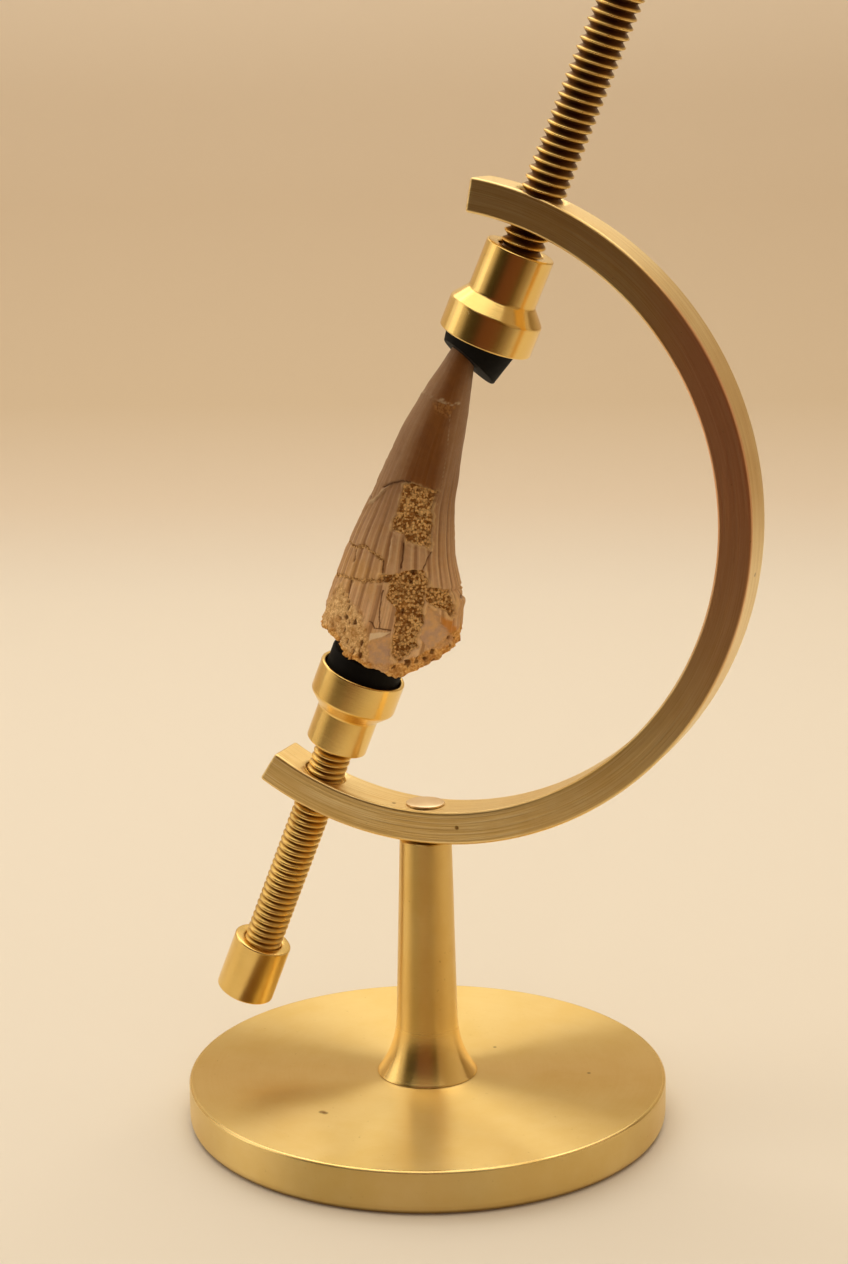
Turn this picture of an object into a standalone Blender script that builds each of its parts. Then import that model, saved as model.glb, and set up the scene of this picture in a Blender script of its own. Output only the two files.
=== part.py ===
"""Fossil claw held point up between two screw clamps on a turned brass stand.

Metres, +Z up. The origin is on the stem's axis at the underside of the base.
The arc lies in the XZ plane and the viewer's side is -Y.
"""
import math

import bmesh
import bpy
from mathutils import Matrix, Vector, noise

MM = 0.001
GAP = 0.3 * MM

# Base disc
BASE_RADIUS = 38.1 * MM
BASE_THICKNESS = 7.0 * MM
BASE_EDGE = 0.6 * MM

# Turned stem
STEM_FOOT_RADIUS = 8.1 * MM
STEM_WAIST_RADIUS = 5.1 * MM
STEM_TOP_RADIUS = 4.1 * MM
STEM_FLARE_HEIGHT = 10.5 * MM
STEM_TOP = 45.8 * MM

# Open arc of flat bar, about its own centre
ARC_CENTRE_X = 0.77 * MM
ARC_CENTRE_Z = 97.5 * MM
ARC_INNER_RADIUS = 46.2 * MM
ARC_OUTER_RADIUS = 51.35 * MM
ARC_WIDTH = 8.1 * MM
ARC_EDGE = 0.4 * MM
ARC_UPPER_END = math.radians(80.5)
ARC_LOWER_END = math.radians(-122.2)

# Pin that fastens the arc to the stem
PIN_HEAD_RADIUS = 3.05 * MM
PIN_HEAD_HEIGHT = 0.5 * MM
PIN_SHANK_RADIUS = 1.8 * MM
PIN_LENGTH = 10.5 * MM

# The two screw axes: where they cross the height of the arc's centre, and their lean
UPPER_AXIS_X = -1.1 * MM
UPPER_TILT = math.radians(22.75)
LOWER_AXIS_X = -0.15 * MM
LOWER_TILT = math.radians(21.5)

# Along each screw axis, measured from the height of the arc's centre
UPPER_CUP_RIM = 28.9 * MM
UPPER_CUP_SHOULDER = 33.7 * MM
UPPER_CUP_NECK = 36.0 * MM
UPPER_CUP_END = 43.5 * MM
UPPER_CUP_RADIUS = 7.2 * MM
UPPER_NECK_RADIUS = 5.25 * MM
UPPER_SCREW_RADIUS = 3.4 * MM
UPPER_PITCH = 1.4 * MM
UPPER_KNOB_START = 85.0 * MM
UPPER_KNOB_END = 95.0 * MM
UPPER_KNOB_RADIUS = 5.0 * MM

LOWER_CUP_RIM = 27.3 * MM
LOWER_CUP_SHOULDER = 32.45 * MM
LOWER_CUP_NECK = 34.5 * MM
LOWER_CUP_END = 40.5 * MM
LOWER_CUP_RADIUS = 6.85 * MM
LOWER_NECK_RADIUS = 4.9 * MM
LOWER_SCREW_RADIUS = 3.07 * MM
LOWER_PITCH = 1.1 * MM
LOWER_KNOB_START = 77.3 * MM
LOWER_KNOB_END = 87.0 * MM
LOWER_KNOB_RADIUS = 4.72 * MM

THREAD_DEPTH = 0.55            # of the pitch
THREAD_SIDES = 10
SOCKET_DEPTH = 4.0 * MM        # screws in cups and knobs, and pads in cups
TURNED_EDGE = 0.3 * MM
TURNED_STEPS = 24

# Rubber pads
UPPER_PAD_RADIUS = 5.6 * MM
UPPER_PAD_SHIFT = -0.4 * MM
UPPER_BORE_RADIUS = 6.3 * MM
PAD_FACE_CENTRE = Vector((-1.0 * MM, 0.0, 24.8 * MM))
PAD_FACE_RADIUS = 4.7 * MM
PAD_FACE_SLOPE = 0.35          # fall of the pad's face, both sideways and away from the viewer
LOWER_PAD_RADIUS = 5.9 * MM
LOWER_BORE_RADIUS = 6.2 * MM
LOWER_PAD_TOP = 24.35 * MM
PAD_SIDES = 28

# Claw, in a frame of its own: z runs along it, its broad side faces -y
CLAW_AXIS_X = 0.2 * MM
CLAW_TILT = math.radians(21.8)
CLAW_TURN = math.radians(15.0)
CLAW_BASE = -24.2 * MM
CLAW_TIP = 28.6 * MM
# height, left edge, right edge and half depth, in millimetres
CLAW_STATIONS = (
    (-26.0, -8.6, 12.6, 7.2),
    (-17.0, -9.2, 12.0, 7.1),
    (-10.0, -9.25, 9.8, 6.8),
    (-4.0, -8.9, 6.35, 6.1),
    (2.0, -8.45, 4.05, 5.4),
    (9.0, -8.0, 2.5, 4.7),
    (17.0, -6.85, 0.85, 3.7),
    (24.0, -5.25, -0.85, 2.2),
    (28.6, -4.05, -2.15, 1.0),
)
CLAW_SIDES = 54
CLAW_RINGS = 25
FLUTES = 18
FLUTE_DEPTH = 0.24 * MM
BREAK_LEFT = -3.0 * MM         # left of this the broken base steps up
BREAK_LEFT_RISE = 1.7 * MM
BREAK_RIGHT = 5.5 * MM         # right of this it slopes up
MATRIX_PIT_DEPTH = 0.7 * MM

PART_NAME = "fossil_claw_on_brass_stand"


def clear_scene():
    for item in list(bpy.data.objects):
        bpy.data.objects.remove(item, do_unlink=True)


def new_collection(name):
    collection = bpy.data.collections.new(name)
    bpy.context.scene.collection.children.link(collection)
    return collection


def principled(name, colour, roughness, metallic):
    material = bpy.data.materials.new(name)
    material.use_nodes = True
    shader = material.node_tree.nodes["Principled BSDF"]
    shader.inputs["Base Color"].default_value = (*colour, 1.0)
    shader.inputs["Roughness"].default_value = roughness
    shader.inputs["Metallic"].default_value = metallic
    material.diffuse_color = (*colour, 1.0)
    return material


def add_object(name, mesh, collection, material=None, parent=None):
    item = bpy.data.objects.new(name, mesh)
    collection.objects.link(item)
    if material:
        mesh.materials.append(material)
    item.parent = parent
    return item


def mesh_from(bm, name, sharp_angle=35.0):
    mesh = bpy.data.meshes.new(name)
    bm.to_mesh(mesh)
    bm.free()
    mesh.shade_smooth()
    mesh.set_sharp_from_angle(angle=math.radians(sharp_angle))
    return mesh


def add_empty(name, collection, location, tilt, turn=0.0):
    """An empty whose local z leans by tilt towards +X and is turned about itself."""
    empty = bpy.data.objects.new(name, None)
    empty.empty_display_size = 10 * MM
    collection.objects.link(empty)
    empty.location = location
    empty.rotation_mode = "ZYX"
    empty.rotation_euler = (0.0, tilt, turn)
    return empty


def turned(name, profile, steps, collection, material, parent=None):
    """A solid of revolution about local z from (radius, height) points, outer side top to bottom."""
    bm = bmesh.new()
    points = [bm.verts.new((radius, 0.0, height)) for radius, height in profile]
    for upper, lower in zip(points, points[1:]):
        bm.edges.new((upper, lower))
    item = add_object(name, mesh_from(bm, name), collection, material, parent)
    screw = item.modifiers.new("turned", "SCREW")
    screw.axis = "Z"
    screw.angle = 2 * math.pi
    screw.steps = steps
    screw.render_steps = steps
    screw.use_merge_vertices = True
    screw.merge_threshold = 0.00001
    return item


def cutter_cylinder(name, radius, length, location, collection, parent=None, sides=24):
    bm = bmesh.new()
    bmesh.ops.create_cone(bm, cap_ends=True, segments=sides, radius1=radius, radius2=radius, depth=length)
    item = add_object(name, mesh_from(bm, name), collection, parent=parent)
    item.location = location
    item.hide_render = True
    item.display_type = "WIRE"
    return item


def cut(item, cutter):
    boolean = item.modifiers.new("cut_" + cutter.name, "BOOLEAN")
    boolean.operation = "DIFFERENCE"
    boolean.solver = "EXACT"
    boolean.object = cutter


def base_disc(parts, brass):
    bpy.ops.mesh.primitive_cylinder_add(
        vertices=72, radius=BASE_RADIUS, depth=BASE_THICKNESS, location=(0, 0, BASE_THICKNESS / 2))
    disc = bpy.context.object
    disc.name = "base_disc"
    disc.data.materials.append(brass)
    disc.data.shade_smooth()
    disc.data.set_sharp_from_angle(angle=math.radians(35))
    for owner in list(disc.users_collection):
        owner.objects.unlink(disc)
    parts.objects.link(disc)
    bevel = disc.modifiers.new("edge", "BEVEL")
    bevel.width = BASE_EDGE
    bevel.segments = 1
    bevel.limit_method = "ANGLE"


def stem_radius(height):
    """The stem's radius above the base: a slow taper that flares out at the foot."""
    along = (height - BASE_THICKNESS) / (STEM_TOP - BASE_THICKNESS)
    column = STEM_WAIST_RADIUS + (STEM_TOP_RADIUS - STEM_WAIST_RADIUS) * along
    near_foot = max(0.0, 1.0 - (height - BASE_THICKNESS) / STEM_FLARE_HEIGHT)
    return column + (STEM_FOOT_RADIUS - STEM_WAIST_RADIUS) * near_foot ** 2.6


def stem(parts, brass):
    foot = BASE_THICKNESS + GAP
    bore = PIN_SHANK_RADIUS + GAP
    bore_floor = STEM_TOP - SOCKET_DEPTH - 2 * MM
    heights = [STEM_TOP - TURNED_EDGE]
    heights += [foot + STEM_FLARE_HEIGHT * share for share in (1.6, 1.0, 0.7, 0.45, 0.25, 0.1)]
    profile = [(0.0, bore_floor), (bore, bore_floor), (bore, STEM_TOP), (STEM_TOP_RADIUS - TURNED_EDGE, STEM_TOP)]
    profile += [(stem_radius(height), height) for height in heights]
    profile += [(STEM_FOOT_RADIUS, foot), (0.0, foot)]
    turned("stem", profile, 32, parts, brass)


def arc_frame(parts, cutters, brass, upper_axis, lower_axis):
    """Flat bar bent to an open arc, its two ends and its lowest point drilled."""
    bm = bmesh.new()
    half = ARC_WIDTH / 2
    outline = [
        (ARC_INNER_RADIUS, half - ARC_EDGE), (ARC_INNER_RADIUS, ARC_EDGE - half),
        (ARC_INNER_RADIUS + ARC_EDGE, -half), (ARC_OUTER_RADIUS - ARC_EDGE, -half),
        (ARC_OUTER_RADIUS, ARC_EDGE - half), (ARC_OUTER_RADIUS, half - ARC_EDGE),
        (ARC_OUTER_RADIUS - ARC_EDGE, half), (ARC_INNER_RADIUS + ARC_EDGE, half),
    ]
    centre = Vector((ARC_CENTRE_X, 0, ARC_CENTRE_Z))
    start = Matrix.Rotation(-ARC_LOWER_END, 4, "Y")
    section = [bm.verts.new(centre + start @ Vector((radius, y, 0))) for radius, y in outline]
    face = bm.faces.new(section)
    bmesh.ops.spin(
        bm, geom=[face], cent=centre, axis=(0, -1, 0), angle=ARC_UPPER_END - ARC_LOWER_END, steps=48)
    bmesh.ops.recalc_face_normals(bm, faces=bm.faces)
    arc = add_object("arc_frame", mesh_from(bm, "arc_frame", 20.0), parts, brass)
    reach = (ARC_INNER_RADIUS + ARC_OUTER_RADIUS) / 2
    upper = cutter_cylinder("upper_screw_hole", UPPER_SCREW_RADIUS + GAP, 12 * MM, (0, 0, reach), cutters, upper_axis)
    lower = cutter_cylinder("lower_screw_hole", LOWER_SCREW_RADIUS + GAP, 12 * MM, (0, 0, -reach), cutters, lower_axis)
    pin_hole = cutter_cylinder(
        "pin_hole", PIN_SHANK_RADIUS + GAP, 12 * MM, (0, 0, ARC_CENTRE_Z - reach), cutters, sides=20)
    for cutter in (upper, lower, pin_hole):
        cut(arc, cutter)


def arc_pin(parts, brass):
    seat = ARC_CENTRE_Z - ARC_INNER_RADIUS + GAP
    top = seat + PIN_HEAD_HEIGHT
    profile = [
        (0.0, top), (PIN_HEAD_RADIUS * 0.8, top - 0.1 * MM), (PIN_HEAD_RADIUS, seat + 0.2 * MM),
        (PIN_HEAD_RADIUS, seat), (PIN_SHANK_RADIUS, seat), (PIN_SHANK_RADIUS, seat - PIN_LENGTH),
        (0.0, seat - PIN_LENGTH),
    ]
    turned("arc_pin", profile, 20, parts, brass)


def cup(name, rim, shoulder, neck, end, radii, bores, outward, parts, brass, parent):
    """A stepped cup: a wide mouth for the pad, a sloping shoulder and a neck for the screw.

    Heights are distances out from the arc's centre, and outward is 1 up the axis or -1 down it.
    """
    mouth_radius, neck_radius = radii
    pad_bore, screw_bore = bores
    profile = [
        (0.0, end - SOCKET_DEPTH), (screw_bore, end - SOCKET_DEPTH), (screw_bore, end),
        (neck_radius - TURNED_EDGE, end), (neck_radius, end - TURNED_EDGE), (neck_radius, neck),
        (mouth_radius - TURNED_EDGE, shoulder), (mouth_radius, shoulder - TURNED_EDGE),
        (mouth_radius, rim), (pad_bore, rim), (pad_bore, rim + SOCKET_DEPTH), (0.0, rim + SOCKET_DEPTH),
    ]
    turned(name, along_axis(profile, outward), TURNED_STEPS, parts, brass, parent)


def knob(name, start, end, radius, bore, outward, parts, brass, parent):
    profile = [
        (0.0, end), (radius - TURNED_EDGE, end), (radius, end - TURNED_EDGE),
        (radius, start + TURNED_EDGE), (radius - TURNED_EDGE, start),
        (bore, start), (bore, start + SOCKET_DEPTH), (0.0, start + SOCKET_DEPTH),
    ]
    turned(name, along_axis(profile, outward), TURNED_STEPS, parts, brass, parent)


def along_axis(profile, outward):
    """Turn a profile end for end for the lower clamp, keeping its outer side top to bottom."""
    if outward > 0:
        return profile
    return [(radius, -height) for radius, height in reversed(profile)]


def threaded_rod(name, radius, pitch, low, high, parts, brass, parent):
    """A right-hand V thread: a zigzag wound round the axis, trimmed flat at both ends."""
    bm = bmesh.new()
    root = radius - THREAD_DEPTH * pitch
    half_turns = int((high - low) / pitch + 4) * 2
    points = []
    for index in range(half_turns):
        reach = radius if index % 2 else root
        points.append(bm.verts.new((reach, 0.0, low - 2 * pitch + index * pitch / 2)))
    edges = [bm.edges.new(pair) for pair in zip(points, points[1:])]
    bmesh.ops.spin(
        bm, geom=points + edges, cent=(0, 0, 0), axis=(0, 0, 1), dvec=(0, 0, pitch / THREAD_SIDES),
        angle=2 * math.pi, steps=THREAD_SIDES)
    bmesh.ops.remove_doubles(bm, verts=bm.verts, dist=0.001 * MM)
    for height, normal in ((low, (0, 0, -1)), (high, (0, 0, 1))):
        bmesh.ops.bisect_plane(
            bm, geom=bm.verts[:] + bm.edges[:] + bm.faces[:], dist=0.001 * MM,
            plane_co=(0, 0, height), plane_no=normal, clear_outer=True)
    bmesh.ops.holes_fill(bm, edges=[edge for edge in bm.edges if edge.is_boundary], sides=0)
    bmesh.ops.triangulate(bm, faces=bm.faces)
    bmesh.ops.recalc_face_normals(bm, faces=bm.faces)
    add_object(name, mesh_from(bm, name), parts, brass, parent)


def upper_pad(parts, cutters, rubber, upper_axis, claw_axis):
    """A rubber plug pushed askew by the claw's point, which sits in a hollow in its face."""
    bm = bmesh.new()
    face_height = PAD_FACE_CENTRE.z
    seat = UPPER_CUP_RIM + SOCKET_DEPTH - GAP
    bmesh.ops.create_cone(
        bm, cap_ends=True, segments=PAD_SIDES, radius1=UPPER_PAD_RADIUS, radius2=UPPER_PAD_RADIUS,
        depth=seat - face_height)
    side_edges = [edge for edge in bm.edges if abs(edge.verts[0].co.z - edge.verts[1].co.z) > 1 * MM]
    bmesh.ops.subdivide_edges(bm, edges=side_edges, cuts=1, use_grid_fill=True)
    for vert in bm.verts:
        if vert.co.z < -1 * MM:
            share = PAD_FACE_RADIUS / UPPER_PAD_RADIUS
            x, y = vert.co.x * share, vert.co.y * share
            vert.co = PAD_FACE_CENTRE + Vector((x, y, -PAD_FACE_SLOPE * (x + y)))
        else:
            top = seat if vert.co.z > 1 * MM else UPPER_CUP_RIM - 0.2 * MM
            vert.co = Vector((vert.co.x + UPPER_PAD_SHIFT, vert.co.y, top))
    pad = add_object("upper_pad", mesh_from(bm, "upper_pad"), parts, rubber, upper_axis)
    pad.rotation_euler = (0.0, 0.0, CLAW_TURN)
    low, high = 21.0 * MM, 29.3 * MM
    bm = bmesh.new()
    bmesh.ops.create_cone(
        bm, cap_ends=True, segments=20, radius1=3.45 * MM, radius2=1.5 * MM, depth=high - low)
    hollow = add_object("point_hollow", mesh_from(bm, "point_hollow"), cutters, parent=claw_axis)
    hollow.location = (-3.07 * MM, 0, (low + high) / 2)
    hollow.hide_render = True
    hollow.display_type = "WIRE"
    cut(pad, hollow)


def lower_pad(parts, rubber, lower_axis):
    seat = LOWER_CUP_RIM + SOCKET_DEPTH - GAP
    profile = [
        (0.0, -LOWER_PAD_TOP), (LOWER_PAD_RADIUS - TURNED_EDGE, -LOWER_PAD_TOP),
        (LOWER_PAD_RADIUS, -LOWER_PAD_TOP - TURNED_EDGE), (LOWER_PAD_RADIUS, -seat), (0.0, -seat),
    ]
    turned("lower_pad", profile, PAD_SIDES, parts, rubber, lower_axis)


def between_stations(height):
    """Left edge, right edge and half depth of the claw at a height, on smooth curves."""
    stations = CLAW_STATIONS
    spot = height / MM
    index = 0
    while index < len(stations) - 2 and spot > stations[index + 1][0]:
        index += 1
    here, there = stations[index], stations[index + 1]
    before = stations[max(index - 1, 0)]
    after = stations[min(index + 2, len(stations) - 1)]
    span = there[0] - here[0]
    t = min(max((spot - here[0]) / span, 0.0), 1.0)
    values = []
    for column in (1, 2, 3):
        slope_here = (there[column] - before[column]) / (there[0] - before[0])
        slope_there = (after[column] - here[column]) / (after[0] - here[0])
        values.append((
            here[column] * (2 * t ** 3 - 3 * t ** 2 + 1) + there[column] * (3 * t ** 2 - 2 * t ** 3)
            + span * (slope_here * (t ** 3 - 2 * t ** 2 + t) + slope_there * (t ** 3 - t ** 2))) * MM)
    return values


def step(value, low, high):
    """Smoothly 0 below low and 1 above high."""
    t = min(max((value - low) / (high - low), 0.0), 1.0)
    return t * t * (3 - 2 * t)


def broken_base(x, y):
    """Height of the claw's broken underside: flat on the pad, stepped left, sloped right."""
    left = BREAK_LEFT_RISE * step(-x, -BREAK_LEFT, -BREAK_LEFT + 3 * MM)
    right = max(0.0, x - BREAK_RIGHT)
    rough = 0.5 * MM * abs(noise.noise(Vector((x, y, 0.0)) / (3 * MM)))
    return CLAW_BASE + left + right + rough


def in_box(x, height, box):
    """How far a spot on the front lies inside a box of left, right, low and high, from 0 to 1."""
    left, right, low, high = (edge * MM for edge in box)
    soft = 0.5 * MM
    across = step(x, left - soft, left + soft) * (1 - step(x, right - soft, right + soft))
    up = step(height, low - soft, low + soft) * (1 - step(height, high - soft, high + soft))
    return across * up


# Where enamel is lost on the front and the rock fill shows: left, right, low, high
LOST_ENAMEL = ((-3.6, 1.9, -6.4, 3.2), (-4.6, 0.6, -22.0, -10.6), (1.2, 6.4, -14.0, -11.2))


def claw_surface(angle, along):
    """A point of the claw's side, from the angle round it and the share of the way up."""
    low_left, low_right, low_depth = between_stations(CLAW_BASE)
    low_x = (low_left + low_right) / 2 + (low_right - low_left) / 2 * math.cos(angle)
    bottom = broken_base(low_x, low_depth * math.sin(angle))
    height = bottom + (CLAW_TIP - bottom) * along
    left, right, depth = between_stations(height)
    rounding = math.sqrt(max(0.0, 1.0 - step(height, CLAW_TIP - 1.6 * MM, CLAW_TIP) ** 2 * 0.75))
    fade = 1.0 - step(height, 12 * MM, 26 * MM)
    ridge = FLUTE_DEPTH * (0.25 + 0.75 * fade) * math.cos(FLUTES * angle)
    x = (left + right) / 2 + (right - left) / 2 * math.cos(angle)
    lost = 0.0
    if math.sin(angle) < 0:
        lost = max(in_box(x, height, box) for box in LOST_ENAMEL)
    swell = (ridge * (1 - lost) - MATRIX_PIT_DEPTH * lost) * rounding
    x = (left + right) / 2 + ((right - left) / 2 * rounding + swell) * math.cos(angle)
    return Vector((x, (depth * rounding + swell) * math.sin(angle), height))


def claw(parts, fossil, claw_axis):
    """One fluted, recurved crown with a broken base, from an upright line wound round and shaped."""
    bm = bmesh.new()
    base_rings = 3
    chain = [bm.verts.new((ring / base_rings, 0, 0)) for ring in range(base_rings)]
    chain += [bm.verts.new((1, 0, ring / CLAW_RINGS)) for ring in range(CLAW_RINGS + 1)]
    chain.append(bm.verts.new((0, 0, 1)))
    edges = [bm.edges.new(pair) for pair in zip(chain, chain[1:])]
    bmesh.ops.spin(
        bm, geom=chain + edges, cent=(0, 0, 0), axis=(0, 0, 1), angle=2 * math.pi, steps=CLAW_SIDES)
    bmesh.ops.remove_doubles(bm, verts=bm.verts, dist=0.0001)
    for vert in bm.verts:
        reach = math.hypot(vert.co.x, vert.co.y)
        angle = math.atan2(vert.co.y, vert.co.x)
        if reach > 0.999:
            vert.co = claw_surface(angle, vert.co.z)
        elif vert.co.z > 0.5:
            left, right, _ = between_stations(CLAW_TIP)
            vert.co = Vector(((left + right) / 2, 0, CLAW_TIP + 0.2 * MM))
        else:
            rim = claw_surface(angle, 0.0)
            middle = (between_stations(CLAW_BASE)[0] + between_stations(CLAW_BASE)[1]) / 2
            x, y = middle + (rim.x - middle) * reach, rim.y * reach
            vert.co = Vector((x, y, broken_base(x, y)))
    bmesh.ops.triangulate(bm, faces=bm.faces)
    bmesh.ops.recalc_face_normals(bm, faces=bm.faces)
    add_object("claw", mesh_from(bm, "claw", 60.0), parts, fossil, claw_axis)


def main():
    clear_scene()
    parts = new_collection(PART_NAME)
    cutters = new_collection("cutters")
    brass = principled("satin brass", (0.72, 0.5, 0.2), 0.35, 1.0)
    rubber = principled("black rubber", (0.015, 0.015, 0.016), 0.75, 0.0)
    fossil = principled("fossil enamel", (0.42, 0.27, 0.15), 0.45, 0.0)
    upper_axis = add_empty("upper_axis", parts, (UPPER_AXIS_X, 0, ARC_CENTRE_Z), UPPER_TILT)
    lower_axis = add_empty("lower_axis", parts, (LOWER_AXIS_X, 0, ARC_CENTRE_Z), LOWER_TILT)
    claw_axis = add_empty("claw_axis", parts, (CLAW_AXIS_X, 0, ARC_CENTRE_Z), CLAW_TILT, CLAW_TURN)
    base_disc(parts, brass)
    stem(parts, brass)
    arc_frame(parts, cutters, brass, upper_axis, lower_axis)
    arc_pin(parts, brass)
    cup("upper_cup", UPPER_CUP_RIM, UPPER_CUP_SHOULDER, UPPER_CUP_NECK, UPPER_CUP_END,
        (UPPER_CUP_RADIUS, UPPER_NECK_RADIUS), (UPPER_BORE_RADIUS, UPPER_SCREW_RADIUS + GAP), 1,
        parts, brass, upper_axis)
    cup("lower_cup", LOWER_CUP_RIM, LOWER_CUP_SHOULDER, LOWER_CUP_NECK, LOWER_CUP_END,
        (LOWER_CUP_RADIUS, LOWER_NECK_RADIUS), (LOWER_BORE_RADIUS, LOWER_SCREW_RADIUS + GAP), -1,
        parts, brass, lower_axis)
    threaded_rod("upper_screw", UPPER_SCREW_RADIUS, UPPER_PITCH, UPPER_CUP_END - SOCKET_DEPTH + GAP,
                 UPPER_KNOB_START + SOCKET_DEPTH - GAP, parts, brass, upper_axis)
    threaded_rod("lower_screw", LOWER_SCREW_RADIUS, LOWER_PITCH, -(LOWER_KNOB_START + SOCKET_DEPTH - GAP),
                 -(LOWER_CUP_END - SOCKET_DEPTH + GAP), parts, brass, lower_axis)
    knob("upper_knob", UPPER_KNOB_START, UPPER_KNOB_END, UPPER_KNOB_RADIUS, UPPER_SCREW_RADIUS + GAP, 1,
         parts, brass, upper_axis)
    knob("lower_knob", LOWER_KNOB_START, LOWER_KNOB_END, LOWER_KNOB_RADIUS, LOWER_SCREW_RADIUS + GAP, -1,
         parts, brass, lower_axis)
    upper_pad(parts, cutters, rubber, upper_axis, claw_axis)
    lower_pad(parts, rubber, lower_axis)
    claw(parts, fossil, claw_axis)


main()
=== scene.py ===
# %% [markdown]
# # A fossil claw in a brass clamp stand
#
# The part is a fluted fossil claw held point up between two screw clamps. An open brass arc
# carries both clamps, and a turned stem on a round base carries the arc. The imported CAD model
# gives the places and the moving bodies. This lesson rebuilds every piece finely around it and
# gives each one its finish.

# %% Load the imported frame
import math
from types import SimpleNamespace

import bmesh
import bpy
import numpy as np
from mathutils import Matrix, Vector, noise


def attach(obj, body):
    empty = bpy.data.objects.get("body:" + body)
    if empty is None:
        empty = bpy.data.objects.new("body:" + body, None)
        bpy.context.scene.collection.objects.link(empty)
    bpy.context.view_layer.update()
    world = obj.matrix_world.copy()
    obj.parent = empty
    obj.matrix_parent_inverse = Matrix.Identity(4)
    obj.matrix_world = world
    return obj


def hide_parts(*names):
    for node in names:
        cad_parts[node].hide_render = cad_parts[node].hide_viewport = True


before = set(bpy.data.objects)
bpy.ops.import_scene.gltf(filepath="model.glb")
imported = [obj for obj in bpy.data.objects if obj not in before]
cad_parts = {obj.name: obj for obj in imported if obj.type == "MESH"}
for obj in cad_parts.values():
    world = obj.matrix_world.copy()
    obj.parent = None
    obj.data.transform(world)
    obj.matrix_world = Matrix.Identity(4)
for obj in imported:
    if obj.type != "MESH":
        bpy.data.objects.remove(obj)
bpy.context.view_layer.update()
MM = 0.001

# %% [markdown]
# The photograph was taken with a longish lens, a little from the right and a little from above.
# The camera turns about the upright axis first, then leans down, and last rolls by half a
# degree. Building its matrix from those three turns keeps each one readable.

# %% Camera
CAMERA_AZIMUTH = math.radians(21.013)
CAMERA_ELEVATION = math.radians(12.514)
CAMERA_ROLL = math.radians(-0.466)
CAMERA_DISTANCE = 374.16 * MM
CAMERA_TARGET = Vector((0, 0, 78.93 * MM))
CAMERA_LENS = 103.02           # for a sensor 36 wide

turn = Matrix.Rotation(CAMERA_AZIMUTH, 4, "Z")
lean = Matrix.Rotation(math.pi / 2 - CAMERA_ELEVATION, 4, "X")
roll = Matrix.Rotation(CAMERA_ROLL, 4, "Z")
facing = turn @ lean @ roll
stand_off = facing @ Vector((0, 0, CAMERA_DISTANCE))
camera = bpy.data.objects.new("camera", bpy.data.cameras.new("camera"))
camera.data.sensor_width = 36
camera.data.sensor_fit = "HORIZONTAL"
camera.data.lens = CAMERA_LENS
camera.data.clip_start = 0.01
camera.matrix_world = Matrix.Translation(CAMERA_TARGET + stand_off) @ facing
bpy.context.scene.collection.objects.link(camera)
bpy.context.scene.camera = camera
print("camera at", [round(value / MM, 1) for value in camera.matrix_world.translation])

# %% [markdown]
# Materials are small programs made of nodes. The class below wraps a node's output, so that
# shader maths can be written as plain sums. Every other kind of node comes from its one method,
# `node`, which takes the settings first and then the values or wires of the sockets.


# %% Shader maths in plain Python
class Wire:
    """A node's output. Sums, products and powers of wires add the Math nodes."""

    def __init__(self, socket):
        self.socket = socket

    def node(self, kind, inputs, output=0, stops=(), **settings):
        """Add a node: its settings first, then the values or wires of its inputs."""
        tree = self.socket.id_data
        added = tree.nodes.new(kind)
        for name, value in settings.items():
            setattr(added, name, value)
        if stops:
            ramp = added.color_ramp
            for element, (position, colour) in zip(ramp.elements, (stops[0], stops[-1])):
                element.position = position
                element.color = (*colour, 1)
            for position, colour in stops[1:-1]:
                ramp.elements.new(position).color = (*colour, 1)
        for place, value in inputs.items():
            if isinstance(value, Wire):
                tree.links.new(value.socket, added.inputs[place])
            else:
                added.inputs[place].default_value = value
        return Wire(added.outputs[output])

    def math(self, operation, first, second):
        return self.node("ShaderNodeMath", {0: first, 1: second}, operation=operation)

    def __add__(self, other):
        return self.math("ADD", self, other)

    def __radd__(self, other):
        return self.math("ADD", other, self)

    def __sub__(self, other):
        return self.math("SUBTRACT", self, other)

    def __rsub__(self, other):
        return self.math("SUBTRACT", other, self)

    def __mul__(self, other):
        return self.math("MULTIPLY", self, other)

    def __rmul__(self, other):
        return self.math("MULTIPLY", other, self)

    def __truediv__(self, other):
        return self.math("DIVIDE", self, other)

    def __rtruediv__(self, other):
        return self.math("DIVIDE", other, self)

    def __pow__(self, other):
        return self.math("POWER", self, other)


def parts_of(vector):
    """The x, y and z of a vector, as three wires."""
    split = vector.node("ShaderNodeSeparateXYZ", {"Vector": vector}).socket.node
    return [Wire(output) for output in split.outputs]


def joined(x, y, z):
    """Three wires or numbers as one vector."""
    return x.node("ShaderNodeCombineXYZ", {"X": x, "Y": y, "Z": z})


def blend(share, first, second):
    """The first colour where share is 0 and the second where it is 1."""
    return share.node("ShaderNodeMix", {0: share, 6: first, 7: second}, output=2, data_type="RGBA")


def rise(value, low, high):
    """Smoothly 0 below low and 1 above high."""
    return value.node(
        "ShaderNodeMapRange", {"Value": value, "From Min": low, "From Max": high},
        interpolation_type="SMOOTHSTEP")


def cloud(place, scale, detail=2.0, rough=0.5):
    """Soft noise between 0 and 1, with scale in lumps for each unit of place."""
    return place.node(
        "ShaderNodeTexNoise", {"Vector": place, "Scale": scale, "Detail": detail, "Roughness": rough})


def stretched(place, factors):
    return place.node("ShaderNodeVectorMath", {0: place, 1: factors}, operation="MULTIPLY")


def scaled(tone, factor):
    """A colour made lighter or darker by a factor."""
    return tone.node("ShaderNodeVectorMath", {0: tone, "Scale": factor}, operation="SCALE")


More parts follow.
